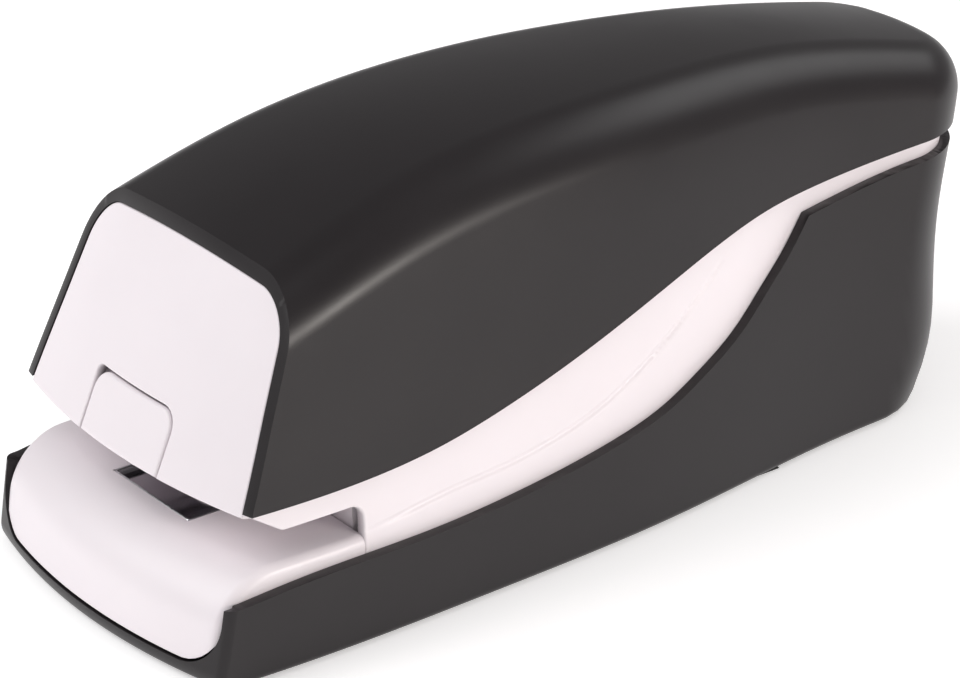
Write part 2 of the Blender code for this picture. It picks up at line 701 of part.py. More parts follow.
def make_inlet():
    """Socket for a low-voltage adaptor: a barrel with a blind bore round its centre pin."""
    depth, wall_y = INLET_DEPTH, float(rear_reach(INLET_Z)) - REAR_BOW * INLET_X ** 2
    turned("dc_inlet", GREY_PLASTIC, "Y", (INLET_X, wall_y - depth - 0.6, INLET_Z),
           [(0, depth - 1), (0.6, depth - 1), (0.9, depth - 1.6), (0.9, 2), (2.7, 2), (2.7, depth),
            (INLET_R, depth), (INLET_R, 0), (0, 0)], 20)


# ----------------------------------------------------------------- batteries
def make_batteries():
    half, front, rear, top = BAY_HALF, BAY_FRONT_Y, BAY_REAR_Y, BAY_TOP_Z
    wall = 1.0
    tray = box("battery_tray", GREY_PLASTIC, (-half - wall, front - wall, 4.2),
               (half + wall, rear + wall, top + wall))
    cut_box(tray, (-half, front, -2), (half, rear, top))
    pitch = 2 * CELL_R + 0.7
    middle = (front + rear) / 2
    number = 0
    for column in (-1, 0, 1):
        for end in (-1, 1):
            number += 1
            up = end if column % 2 else -end
            centre_y = middle + end * (CELL_LENGTH / 2 + 0.6)
            make_cell(f"aa_cell_{number}", column * pitch, centre_y, up)
    for name, y in (("contact_front", front + 0.35), ("contact_rear", rear - 0.85)):
        box(name, STEEL_MAT, (-half + 1, y, 4.2), (half - 1, y + 0.5, top - 1.2))


def make_cell(name, x, y, way):
    """An AA cell with its nub at the +Y end when way is 1."""
    r, half = CELL_R, CELL_LENGTH / 2
    cell = turned(name, CELL_MAT, "Y", (x, y, CELL_Z),
                  [(0, half), (2.7, half), (2.7, half - 1.2), (r - 0.6, half - 1.3), (r, half - 1.9),
                   (r, -half + 0.6), (r - 0.6, -half), (0, -half)], 16)
    if way < 0:
        cell.matrix_world = (Matrix.Translation((x * MM, y * MM, CELL_Z * MM))
                             @ Matrix.Rotation(math.pi / 2, 4, "X"))


# ---------------------------------------------------------------------- gears
def tooth_ring(teeth, module, centre, phase):
    """Outline of a spur gear with involute-like flanks."""
    pitch_r = teeth * module / 2
    root, tip = pitch_r - 1.2 * module, pitch_r + 0.9 * module
    quarter = math.pi / (2 * teeth)
    profile = ((root, -1.38), (pitch_r, -0.86), (tip, -0.38), (tip, 0.38), (pitch_r, 0.86), (root, 1.38))
    points = []
    for tooth in range(teeth):
        middle = phase + 2 * math.pi * tooth / teeth
        for radius, share in profile:
            angle = middle + share * quarter
            points.append((centre[0] + radius * math.cos(angle), centre[1] + radius * math.sin(angle)))
    return points


def mesh_phase(angle, driven, driven_phase, driver):
    """Phase of a driver gear that meshes with a driven one along the line of centres."""
    share = ((angle - driven_phase) / (2 * math.pi / driven)) % 1.0
    return angle + math.pi + (share - 0.5) * 2 * math.pi / driver


def compound_gear(name, centre, driven, driven_module, driver, driver_module, phases, outer_large):
    """A large wheel and a small pinion in one moulding, on a bore."""
    large_low = LAYER_OUTER if outer_large else LAYER_INNER
    small_low = LAYER_INNER if outer_large else LAYER_OUTER
    bore = ring(centre, AXLE_R + FIT, 16)
    overlap = 0.8
    small_span = [small_low, small_low + FACE_WIDTH]
    if outer_large:
        small_span[1] = large_low + overlap
    else:
        small_span[0] = large_low + FACE_WIDTH - overlap
    wheel = plate(name, ACETAL, "X", large_low, large_low + FACE_WIDTH,
                  tooth_ring(driven, driven_module, centre, phases[0]), bore)
    pinion = plate(name + "_pinion", None, "X", small_span[0], small_span[1],
                   tooth_ring(driver, driver_module, centre, phases[1]), bore)
    return combine(wheel, pinion, "UNION")


def make_gears():
    centres = [CRANK]
    angles = [math.radians(stage[3]) for stage in TRAIN]
    for (driver, driven, module, _), angle in zip(TRAIN, angles):
        reach = (driver + driven) * module / 2 + BACKLASH
        centres.append((centres[-1][0] + reach * math.cos(angle), centres[-1][1] + reach * math.sin(angle)))
    crank_phase = 0.0
    second_small = mesh_phase(angles[0], TRAIN[0][1], crank_phase, TRAIN[0][0])
    second_large = 0.0
    first_small = mesh_phase(angles[1], TRAIN[1][1], second_large, TRAIN[1][0])
    first_large = 0.0
    motor_phase = mesh_phase(angles[2], TRAIN[2][1], first_large, TRAIN[2][0])
    plate("crank_gear", ACETAL, "X", LAYER_OUTER, LAYER_OUTER + FACE_WIDTH,
          tooth_ring(TRAIN[0][1], TRAIN[0][2], centres[0], crank_phase), ring(centres[0], SHAFT_R + FIT))
    compound_gear("second_gear", centres[1], TRAIN[1][1], TRAIN[1][2], TRAIN[0][0], TRAIN[0][2],
                  (second_large, second_small), outer_large=False)
    compound_gear("first_gear", centres[2], TRAIN[2][1], TRAIN[2][2], TRAIN[1][0], TRAIN[1][2],
                  (first_large, first_small), outer_large=True)
    for name, (y, z) in (("second_gear_axle", centres[1]), ("first_gear_axle", centres[2])):
        rod(name, STEEL_MAT, "X", (CHASSIS_X + CHASSIS_T - 0.9, y, z), 7.6, AXLE_R, 16)
    pinion = plate("motor_pinion", BRASS, "X", LAYER_OUTER, LAYER_OUTER + FACE_WIDTH,
                   tooth_ring(TRAIN[2][0], TRAIN[2][2], centres[3], motor_phase))
    shaft = rod("motor_pinion_shaft", None, "X", (10.0, *centres[3]), 5.5, 1.0, 12)
    combine(pinion, shaft, "UNION")
    return centres


def make_crank():
    y, z = CRANK
    outer = LAYER_OUTER + FACE_WIDTH
    rod("crank_shaft", STEEL_MAT, "X", (-13.0, y, z), 13.0 + outer + 0.8, SHAFT_R, 20)
    plate("eccentric_cam", STEEL_MAT, "X", -7.0, 7.0, ring((y, z + CAM_THROW), CAM_R, 28),
          ring((y, z), SHAFT_R + FIT))


# -------------------------------------------------------------------- chassis
def make_chassis(centres):
    outline = [(-67.3, 37.5), (-67.3, 47.5), (-58, 56), (-40, 62), (-10, 67.5), (20, 68), (45, 61.5),
               (52, 52), (52, BAY_TOP_Z + 1.6), (8, BAY_TOP_Z + 1.6), (6, 32), (-12, 37.5)]
    left_holes = [ring(CRANK, SHAFT_R + RUNNING), ring(PIVOT, AXLE_R + FIT, 16)]
    right_holes = [*left_holes, ring(centres[1], AXLE_R + FIT, 16), ring(centres[2], AXLE_R + FIT, 16),
                   ring(centres[3], 3.4, 16)]
    plate("chassis_left", STEEL_MAT, "X", -CHASSIS_X - CHASSIS_T, -CHASSIS_X, outline, *left_holes)
    plate("chassis_right", STEEL_MAT, "X", CHASSIS_X, CHASSIS_X + CHASSIS_T, outline, *right_holes)
    inner = CHASSIS_X - 0.2
    for name, y, z in (("chassis_spacer_front", -50, 56), ("chassis_spacer_top", 12, 62.5),
                       ("chassis_spacer_rear", 45, 27)):
        rod(name, STEEL_MAT, "X", (-inner, y, z), 2 * inner, 2.2, 12)
    rod("pivot_pin", STEEL_MAT, "X", (-CHASSIS_X - 1.2, *PIVOT), 2 * (CHASSIS_X + 1.2), AXLE_R, 16)
    outer, inner = GUIDE_HALF, GUIDE_HALF - GUIDE_WALL
    front, rear = GUIDE_FRONT_Y, GUIDE_REAR_Y
    plan = [(-outer, front), (outer, front), (outer, rear), (inner, rear), (inner, front + GUIDE_WALL),
            (-inner, front + GUIDE_WALL), (-inner, rear), (-outer, rear)]
    plate("blade_guide", STEEL_MAT, "Z", 38.6, 45.5, plan)


# ---------------------------------------------------------------------- motor
def motor_outline(centre, radius, flat):
    """A round can with two flats."""
    limit = math.asin(flat / radius)
    right = [(centre[0] + radius * math.cos(a), centre[1] + radius * math.sin(a))
             for a in np.linspace(-limit, limit, 8)]
    return right + [(2 * centre[0] - y, 2 * centre[1] - z) for y, z in right]


def make_motor(centre):
    can = plate("drive_motor", STEEL_MAT, "X", -6.5, MOTOR_HALF, motor_outline(centre, MOTOR_R, MOTOR_FLAT))
    cut_rod(can, "X", (7.5, *centre), 6, 1.1, 12)
    bevel(can, 0.8, 1, 60)
    cap = plate("motor_end_cap", GREY_PLASTIC, "X", -9.4, -6.8,
                motor_outline(centre, MOTOR_R - 0.3, MOTOR_FLAT - 0.2))
    bevel(cap, 0.5, 1, 60)


# ------------------------------------------------------- drive arm and blade
def make_arm():
    """Inverted channel that hangs on the pivot pin; its front tongue works the blade."""
    flange_in, flange_out = 9.3, 10.1
    top = ARM_WEB_Z + STEEL
    profile = [(25.5, 31.5), (25.5, 41), (16, top), (-57.5, top), (-57.5, 43.0), (-20, 40.0), (4, 38.5),
               (17, 31.5)]
    arm = plate("drive_arm", STEEL_MAT, "X", -flange_out, flange_out, profile)
    inside = [(40, 20), (40, 39.8), (24.9, 39.8), (15.4, ARM_WEB_Z), (-70, ARM_WEB_Z), (-70, 20)]
    combine(arm, plate("drive_arm_hollow", None, "X", -flange_in, flange_in, inside))
    tongue = box("drive_arm_tongue", None, (-TONGUE_HALF, TONGUE_FRONT_Y, ARM_WEB_Z),
                 (TONGUE_HALF, -50, top))
    combine(arm, tongue, "UNION")
    cut_rod(arm, "X", (-15, *PIVOT), 30, AXLE_R + RUNNING, 16)
    return arm


def make_blade():
    half = BLADE_HALF
    outline = [(-half, BLADE_BOTTOM_Z), (half, BLADE_BOTTOM_Z), (half, BLADE_TOP_Z - 1),
               (half - 1, BLADE_TOP_Z), (-half + 1, BLADE_TOP_Z), (-half, BLADE_TOP_Z - 1)]
    side = TONGUE_HALF + 0.5
    window = rectangle(-side, ARM_WEB_Z - 1.2, side, ARM_WEB_Z + STEEL + 1.1)
    plate("driver_blade", STEEL_MAT, "Y", BLADE_Y - 0.3, BLADE_Y + 0.3, outline, window)


# -------------------------------------------------------------------- magazine
def make_magazine():
    half, floor, top = DRAWER_HALF, DRAWER_FLOOR_Z, DRAWER_TOP_Z
    front, rear = DRAWER_FRONT_Y, DRAWER_REAR_Y
    drawer = box("magazine_drawer", STEEL_MAT, (-half, front, floor), (half, rear, top))
    cut_box(drawer, (-half + SHEET, front - 5, floor + SHEET), (half - SHEET, rear - SHEET, top + 5))
    cut_box(drawer, (-half + SHEET, front - 5, floor - 5), (half - SHEET, STRIP_FRONT_Y - 0.3, floor + 2))
    rail_top = floor + SHEET + 2.4
    box("staple_rail", STEEL_MAT, (-5.7, STRIP_FRONT_Y + 0.4, floor + SHEET + 0.1), (5.7, 12, rail_top))
    strip_low, strip_high, leg_in, leg_out = floor + SHEET + 0.2, 32.3, 6.1, 6.6
    arch = [(-leg_out, strip_low), (-leg_in, strip_low), (-leg_in, strip_high - 0.5),
            (leg_in, strip_high - 0.5), (leg_in, strip_low), (leg_out, strip_low),
            (leg_out, strip_high), (-leg_out, strip_high)]
    plate("staple_strip", STAPLE_MAT, "Y", STRIP_FRONT_Y, STRIP_REAR_Y, arch)
    saddle = [(-leg_out, strip_low), (-leg_in, strip_low), (-leg_in, rail_top + 0.3),
              (leg_in, rail_top + 0.3), (leg_in, strip_low), (leg_out, strip_low),
              (leg_out, DRAWER_TOP_Z - 0.4), (-leg_out, DRAWER_TOP_Z - 0.4)]
    rod_z = 30.2
    pusher = plate("staple_pusher", GREY_PLASTIC, "Y", STRIP_REAR_Y + GAP, STRIP_REAR_Y + 9, saddle)
    cut_rod(pusher, "Y", (0, STRIP_REAR_Y - 5, rod_z), 30, 1.1, 12)
    rod("pusher_rod", STEEL_MAT, "Y", (0, STRIP_FRONT_Y + 2, rod_z), rear - SHEET - 0.3 - STRIP_FRONT_Y - 2,
        0.9, 10)
    spring_start = STRIP_REAR_Y + 9.6
    spring_length = rear - SHEET - 0.8 - spring_start
    wire("pusher_spring", STEEL_MAT,
         coil_points((0, spring_start, rod_z), "Y", 1.75, spring_length, 9, 8), 0.28, 0)
    make_tab()


def make_tab():
    """The white front of the drawer, flush with the head, with the block that closes the channel."""
    outline = tab_outline(0, FACE_BOTTOM_Z)
    tab = plate("magazine_front", WHITE, "Y", -80, -76, outline)
    for vert in tab.data.vertices:
        x, y, z = vert.co.x / MM, vert.co.y / MM, vert.co.z / MM
        vert.co.y = (float(face_y(x, z)) + (GAP if y < -78 else 3.2)) * MM
    bevel(tab, 0.5, 1, 50)
    block_half = DRAWER_HALF - SHEET - 0.3
    block = [(float(face_y(0, 29)) + 1.5, FACE_BOTTOM_Z + 0.4), (BLADE_Y - 1.0, 26.2),
             (BLADE_Y - 1.0, DRAWER_TOP_Z - 0.3), (float(face_y(0, 33)) + 1.8, DRAWER_TOP_Z - 0.3)]
    combine(tab, plate("magazine_front_block", None, "X", -block_half, block_half, block), "UNION")
    return tab


def make_magazine_guide():
    """The channel that the drawer slides in; it dips on the pivot pin to clamp the paper."""
    outer, inner, low, high = 8.8, 8.0, 24.3, 35.4
    front = DRAWER_FRONT_Y + 1.6
    guide = box("magazine_guide", STEEL_MAT, (-outer, front, low), (outer, 17.5, high))
    cut_box(guide, (-inner, front - 5, low + SHEET), (inner, 30, high - 0.8))
    cut_box(guide, (-6.3, front - 5, low - 5), (6.3, 30, low + 2))
    cut_box(guide, (-BLADE_HALF - 0.6, BLADE_Y - 1.7, 30), (BLADE_HALF + 0.6, BLADE_Y + 1.5, 50))
    for side in (-1, 1):
        x0, x1 = sorted((side * outer, side * inner))
        ear = plate(f"magazine_guide_ear_{side}", None, "X", x0, x1,
                    [(10, 28), (25.5, 31), (25.5, 37), (22, 37.5), (10, high - 0.5)])
        combine(guide, ear, "UNION")
    cut_rod(guide, "X", (-15, *PIVOT), 30, AXLE_R + RUNNING, 16)
    wire("clamp_spring", STEEL_MAT, coil_points((0, -40, high + 0.6), "Z", 3.2, 9.6, 4, 9), 0.45, 0)
    return guide


# ------------------------------------------------------------ electrical parts
def make_trigger():
    """Paper lever: the sheet's edge pushes its foot back and its head presses the switch."""
    x, half = TRIGGER_X, TRIGGER_SLOT_HALF - 0.4
    outline = [(-59.2, 20.0), (-57.6, 20.0), (-57.2, 27.5), (-55.0, 29.5), (-54.6, 33.0), (-56.0, 34.6),
               (-58.6, 34.2), (-59.4, 30.0)]
    lever = plate("paper_trigger", GREY_PLASTIC, "X", x - half, x + half, outline,
                  ring(TRIGGER_PIVOT, 0.8 + RUNNING, 12))
    rod("trigger_pin", STEEL_MAT, "X", (x - 3.0, *TRIGGER_PIVOT), 6.5, 0.8, 12)
    switch = box("micro_switch", GREY_PLASTIC, (x - 1.6, -53.2, 27.0), (x + 4.6, -41.0, 34.0), 0.3)
    return lever, switch


def make_board():
    box("circuit_board", BOARD, (-13.6, 0.0, 31.0), (-12.0, 48.0, 54.0))
    rod("power_capacitor", GREY_PLASTIC, "Z", (-16.2, 36.0, 34.0), 11.0, 2.3, 14)


def make_anvil():
    half, front, rear = WELL
    anvil = box("anvil_plate", STEEL_MAT, (-half + GAP, front + GAP, 15.9), (half - GAP, rear - GAP, 17.3))
    for side in (-1, 1):
        x0, x1 = sorted((side * 0.9, side * 6.9))
        cut_box(anvil, (x0, BLADE_Y - 0.9, 16.7), (x1, BLADE_Y + 0.9, 20))
    return anvil


make_top_cover()
make_base_shell()
make_base_deck()
make_housings()
make_front_fascia()
make_throat_liner()
make_anvil()
make_feet()
make_screws()
make_inlet()
make_batteries()
GEAR_CENTRES = make_gears()
make_crank()
make_chassis(GEAR_CENTRES)
make_motor(GEAR_CENTRES[3])
make_arm()
make_blade()
make_magazine()
make_magazine_guide()
make_trigger()
make_board()
for piece, centre in (("crank_gear", CRANK), ("crank_shaft", CRANK), ("eccentric_cam", CRANK),
                      ("second_gear", GEAR_CENTRES[1]), ("first_gear", GEAR_CENTRES[2]),
                      ("motor_pinion", GEAR_CENTRES[3]), ("drive_arm", PIVOT), ("magazine_guide", PIVOT),
                      ("paper_trigger", TRIGGER_PIVOT)):
    set_origin(piece, centre)
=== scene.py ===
"""Looks of the electric stapler: fine casings, materials, light and camera.

The casings follow the same design functions as the CAD part, at a finer step, in
millimetres, and every mesh is scaled to metres when it is made.
"""
import json
import math

import bmesh
import bpy
import numpy as np
from mathutils import Matrix, Vector


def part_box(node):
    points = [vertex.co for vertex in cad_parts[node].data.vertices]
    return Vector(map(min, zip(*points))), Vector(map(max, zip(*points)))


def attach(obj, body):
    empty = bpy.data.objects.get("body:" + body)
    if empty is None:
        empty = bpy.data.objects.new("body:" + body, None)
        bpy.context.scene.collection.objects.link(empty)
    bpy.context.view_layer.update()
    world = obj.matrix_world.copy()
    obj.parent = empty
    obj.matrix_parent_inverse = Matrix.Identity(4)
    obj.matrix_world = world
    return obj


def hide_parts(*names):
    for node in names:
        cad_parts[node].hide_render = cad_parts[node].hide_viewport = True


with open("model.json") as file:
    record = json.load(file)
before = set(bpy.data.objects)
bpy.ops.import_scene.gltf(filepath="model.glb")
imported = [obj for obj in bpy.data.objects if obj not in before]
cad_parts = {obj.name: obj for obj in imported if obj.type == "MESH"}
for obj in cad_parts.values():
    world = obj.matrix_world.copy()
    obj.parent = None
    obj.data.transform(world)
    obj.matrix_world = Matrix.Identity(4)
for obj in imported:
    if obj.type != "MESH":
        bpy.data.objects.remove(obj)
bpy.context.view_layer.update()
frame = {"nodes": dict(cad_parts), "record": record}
MM = 0.001

# ---------------------------------------------------------------- outer form
PLAN_Y = (-94.0, -69.5, -30.5, 8.5, 48.0, 87.0)
PLAN_HALF = (31.7, 33.5, 33.5, 31.7, 27.0, 26.2)
LEAN_Z = (0.0, 15.6, 29.3, 45.0, 60.6, 76.3)
LEAN_X = (0.0, 0.3, -0.95, -3.6, -6.4, -11.0)
ROOF_Y = (-66.7, -40.3, -10.9, 18.4, 47.8, 86.9)
ROOF_Z = (63.3, 70.9, 74.0, 73.3, 70.3, 61.9)
REAR_Z = (0.0, 9.8, 21.5, 34.2, 48.9, 64.5)
REAR_Y = (76.8, 80.5, 81.3, 82.7, 87.1, 90.8)
ROOF_CROWN, REAR_BOW, WALL_SLOPE = 0.0042, 0.0063, 0.985
CORNER_R, SHOULDER_R, BOTTOM_R, FOOT_H = 12.3, 7.5, 1.4, 0.4
FACE_Y, FACE_Z, FACE_LEAN, FACE_BOW = -80.5, 29.7, 0.441, 0.0039
NOSE_Y, NOSE_LEAN, NOSE_BOW, NOSE_R, NOSE_CUT = -88.75, 0.17, 0.0042, 1.2, 0.95

COVER_EDGE = ((-78, 28.7), (-55, 28.9), (-41, 30.1), (-29, 32.3), (-7.5, 37.8),
              (10, 42.8), (23, 46.0), (33, 47.7), (45, 48.5), (80, 49.4))
RIM_FRONT = ((-82, 14.0), (-68, 15.3), (-44, 15.6), (-33, 16.0), (-20, 17.1), (-3, 19.4),
             (6, 21.4), (15.7, 25.1), (25.2, 29.8), (31.5, 34.3), (38.4, 39.5), (43, 43.9))
RIM_REAR = ((43, 43.9), (52.6, 44.7), (62.4, 45.5), (80, 46.2))
RIM_CORNER_Y = 43.0
CREASE = ((-60, 19.0), (-53.1, 19.4), (-38, 21.0), (-27.7, 21.6), (-17.2, 23.0), (-6.4, 25.7),
          (6.1, 31.2), (13.8, 35.4), (24, 42.3), (40, 54.0))

SHELL, RIM_ROUND = 1.9, 0.28          # wall of the dark casings and the rounding of their rims
WHITE_INSET, WHITE_WALL = 2.0, 1.7    # white casings inside them
DECK_Z, DECK_REAR_Y, DECK_SKIRT_Z = 18.5, -55.7, 10.6
LIP_BOTTOM, LIP_CORNER_R, LIP_HALF, LIP_GAP = 3.3, 8.2, 31.6, 0.3
DECK_FAN_Y, DECK_CORE_Z, DECK_ROLL_R = -68.0, 12.0, 9.0
CEILING_Z, CHAMFER_REAR_Y, CHAMFER_Z = 24.0, -70.5, 27.9
FACE_BOTTOM_Z = 28.0
TAB_HALF, TAB_TOP_Z, TAB_CORNER_R = 10.8, 37.9, 3.0
WELL_HALF, WELL_FRONT_Y, WELL_REAR_Y = 11.0, -74.7, -60.0
DOOR_HALF, DOOR_FRONT_Y, DOOR_LIP_Z, GAP = 23.6, -39.0, 9.0, 0.3


# ------------------------------------------------------------------ functions
def natural_spline(points_x, points_y):
    """A natural cubic through the points, straight beyond its ends."""
    x = np.array(points_x, float)
    y = np.array(points_y, float)
    step = np.diff(x)
    slope = np.diff(y) / step
    count = len(x)
    system = np.eye(count)
    right = np.zeros(count)
    for i in range(1, count - 1):
        system[i, i - 1:i + 2] = step[i - 1], 2 * (step[i - 1] + step[i]), step[i]
        right[i] = 6 * (slope[i] - slope[i - 1])
    bend = np.linalg.solve(system, right)

    def value(at):
        at = np.asarray(at, float)
        inside = np.clip(at, x[0], x[-1])
        i = np.clip(np.searchsorted(x, inside) - 1, 0, count - 2)
        h, a, b = step[i], x[i + 1] - inside, inside - x[i]
        found = (bend[i] * a ** 3 + bend[i + 1] * b ** 3) / (6 * h)
        found += (y[i] / h - bend[i] * h / 6) * a + (y[i + 1] / h - bend[i + 1] * h / 6) * b
        first = slope[0] - bend[1] * step[0] / 6
        last = slope[-1] + bend[-2] * step[-1] / 6
        return found + np.minimum(at - x[0], 0) * first + np.maximum(at - x[-1], 0) * last
    return value


half_width = natural_spline(PLAN_Y, PLAN_HALF)
lean_in = natural_spline(LEAN_Z, LEAN_X)
roof_height = natural_spline(ROOF_Y, ROOF_Z)
rear_reach = natural_spline(REAR_Z, REAR_Y)
cover_edge = natural_spline(*zip(*COVER_EDGE))
rim_front = natural_spline(*zip(*RIM_FRONT))
rim_rear = natural_spline(*zip(*RIM_REAR))
crease_height = natural_spline(*zip(*CREASE))


def rim_edge(y):
    """Height of the base shell's rim along its side."""
    return np.where(np.asarray(y, float) < RIM_CORNER_Y, rim_front(y), rim_rear(y))


def face_y(x, z):
    """The head's leaning, slightly bowed front."""
    return FACE_Y + (z - FACE_Z) * FACE_LEAN + FACE_BOW * np.square(x)


def nose_y(x, z):
    """The front of the base."""
    return NOSE_Y + NOSE_LEAN * z + NOSE_BOW * np.square(x)


def fillet(a, b, radius):
    """Intersection of two distance fields with a rounded edge."""
    corner = np.hypot(np.maximum(a + radius, 0), np.maximum(b + radius, 0))
    return np.minimum(np.maximum(a, b), -radius) + corner


def side_field(p):
    return (np.abs(p[..., 0]) - half_width(p[..., 1]) - lean_in(p[..., 2])) * WALL_SLOPE


def body_field(p):
    """Signed distance to the whole outer form, in millimetres."""
    x, y, z = np.abs(p[..., 0]), p[..., 1], p[..., 2]
    roof = (z - roof_height(y) + ROOF_CROWN * x ** 2) * WALL_SLOPE
    rear = y - rear_reach(z) + REAR_BOW * x ** 2
    shape = fillet(side_field(p), rear, CORNER_R)
    shape = fillet(shape, roof, SHOULDER_R)
    return fillet(shape, FOOT_H - z, BOTTOM_R)


def base_field(p):
    ahead = nose_y(p[..., 0], p[..., 2]) - p[..., 1]
    shape = fillet(body_field(p), ahead, NOSE_R)
    return fillet(shape, (ahead + FOOT_H - p[..., 2]) * math.sqrt(0.5) + NOSE_CUT, NOSE_R)


def lip_field(x, z, gap=0.0):
    """The lip's outline seen from the front: straight sides and round lower corners."""
    return fillet(np.abs(x) - LIP_HALF + gap, LIP_BOTTOM + gap - z, LIP_CORNER_R - gap)


def deck_field(p):
    x, y, z = p[..., 0], p[..., 1], p[..., 2]
    roll = fillet(z - DECK_Z, nose_y(x, z) + GAP - y, DECK_ROLL_R)
    return fillet(side_field(p) + WHITE_INSET, roll, 1.6)


def root_along(field, path, reach):
    """First zero of the field along each path, found by halving."""
    low = np.zeros(reach.shape)
    high = reach.copy()
    for _ in range(40):
        middle = (low + high) / 2
        inside = field(path(middle)) < 0
        low = np.where(inside, middle, low)
        high = np.where(inside, high, middle)
    return path(low)


def spread(points, count, bend_weight=9.0):
    """Fractions along a dense curve that give short steps where it bends."""
    step = np.diff(points, axis=0)
    length = np.linalg.norm(step, axis=1)
    unit = step / length[:, None]
    turn = np.arccos(np.clip((unit[1:] * unit[:-1]).sum(axis=1), -1, 1))
    cost = length.copy()
    cost[1:] += bend_weight * turn / 2
    cost[:-1] += bend_weight * turn / 2
    total = np.concatenate([[0], np.cumsum(cost)])
    return np.interp(np.linspace(0, total[-1], count), total, np.linspace(0, 1, len(total)))


def fan_row(field, core, toward, bow, count, thickness=0.0):
    """A half section, from the +X side to the middle, where rays from the core meet the field.

    With a thickness, the same rays' meetings with the inside of the wall come as well.
    """
    core = np.array(core, float)
    toward = np.array(toward, float) / np.linalg.norm(toward)
    edge = root_along(field, lambda r: core + np.outer(r, (1, 0, 0)), np.full(1, 150.0))[0, 0]

    def cast(angles, inset=0.0):
        def path(r):
            p = core + np.outer(r * np.cos(angles), (1, 0, 0))
            p += np.outer(r * np.sin(angles), toward)
            p[:, 1] += bow * (p[:, 0] ** 2 - edge ** 2)
            return p
        return root_along(lambda p: field(p) + inset, path, np.full(len(angles), 150.0))

    dense = np.linspace(0, math.pi / 2, 240)
    chosen = np.interp(spread(cast(dense), count), np.linspace(0, 1, len(dense)), dense)
    rows = [cast(chosen)]
    if thickness:
        rows.append(cast(chosen, thickness))
    for row in rows:
        row[-1, 0] = 0
    return rows if thickness else rows[0]


def slope_of(field, p):
    """Unit gradient of the field."""
    small = 1e-3
    rise = np.stack([field(p + d) - field(p - d) for d in np.eye(3) * small], axis=-1)
    return rise / np.maximum(np.linalg.norm(rise, axis=-1), 1e-12)[..., None]


def settle(field, points):
    """Moves points onto the field's surface along its slope."""
    p = points.copy()
    for _ in range(12):
        p -= field(p)[..., None] * slope_of(field, p)
    return p


def refine(stations, step, turn_step=3.0):
    """Stations with more between them, by length along the stapler or by turn."""
    found = [np.array(stations[0], float)]
    for a, b in zip(stations, stations[1:]):
        a, b = np.array(a, float), np.array(b, float)
        parts = max(1, math.ceil(max(abs(b[0] - a[0]) / step, abs(b[1] - a[1]) / turn_step)))
        found += [a + (b - a) * k / parts for k in range(1, parts + 1)]
    return found


def direction(degrees, up):
    """A unit vector in the YZ plane, 90 degrees being straight up or down and 0 straight back."""
    angle = math.radians(degrees)
    return np.array((0.0, math.cos(angle), up * math.sin(angle)))


# ------------------------------------------------------------------ materials
class Nodes:
    """A material's node tree, with short ways to add and link nodes."""

    def __init__(self, name, color, roughness, metallic=0.0):
        self.material = bpy.data.materials.new(name)
        self.material.use_nodes = True
        self.tree = self.material.node_tree
        self.shader = self.tree.nodes["Principled BSDF"]
        self.shader.inputs["Base Color"].default_value = (*color, 1.0)
        self.shader.inputs["Roughness"].default_value = roughness
        self.shader.inputs["Metallic"].default_value = metallic
        self.place = self.add("ShaderNodeTexCoord").outputs["Object"]

    def add(self, kind, **inputs):
        node = self.tree.nodes.new(kind)
        for key, value in inputs.items():
            node.inputs[key.replace("_", " ")].default_value = value
        return node

    def link(self, output, target):
        self.tree.links.new(output, target)

    def noise(self, scale, detail=2.0, stretch=(1, 1, 1)):
        """Noise whose grains are about 1/scale metres across."""
        mapping = self.add("ShaderNodeMapping", Scale=stretch)
        self.link(self.place, mapping.inputs["Vector"])
        node = self.add("ShaderNodeTexNoise", Scale=scale, Detail=detail)
        self.link(mapping.outputs["Vector"], node.inputs["Vector"])
        return node.outputs["Fac"]

    def ramp(self, value, low, high, in_low=0.3, in_high=0.7):
        node = self.add("ShaderNodeMapRange")
        for key, number in zip(("From Min", "From Max", "To Min", "To Max"),
                               (in_low, in_high, low, high)):
            node.inputs[key].default_value = number
        self.link(value, node.inputs["Value"])
        return node.outputs["Result"]

    def mix(self, value, dark, light, in_low=0.3, in_high=0.7):
        node = self.tree.nodes.new("ShaderNodeValToRGB")
        node.color_ramp.elements[0].position = in_low
        node.color_ramp.elements[1].position = in_high
        node.color_ramp.elements[0].color = (*dark, 1)
        node.color_ramp.elements[1].color = (*light, 1)
        self.link(value, node.inputs["Fac"])
        return node.outputs["Color"]

    def bump(self, height, distance, strength=1.0, onto=None):
        node = self.add("ShaderNodeBump", Strength=strength, Distance=distance)
        self.link(height, node.inputs["Height"])
        if onto is not None:
            self.link(onto, node.inputs["Normal"])
        return node.outputs["Normal"]

    def use(self, **outputs):
        for key, output in outputs.items():
            self.link(output, self.shader.inputs[key.replace("_", " ")])
        return self.material


def black_plastic():
    """Spark-eroded satin finish: very fine grain, faint cloudiness in the gloss."""
    n = Nodes("black_plastic", (0.015, 0.0126, 0.0138), 0.33)
    n.shader.inputs["Specular IOR Level"].default_value = 0.3
    grain = n.noise(5200, 2.0)
    cloud = n.noise(60, 3.0)
    coarse = n.noise(1500, 1.0)
    normal = n.bump(coarse, 0.000012, 0.35, n.bump(grain, 0.000008, 0.5))
    return n.use(Base_Color=n.mix(cloud, (0.0142, 0.0118, 0.013), (0.016, 0.0134, 0.0147)),
                 Roughness=n.ramp(cloud, 0.32, 0.36), Normal=normal)


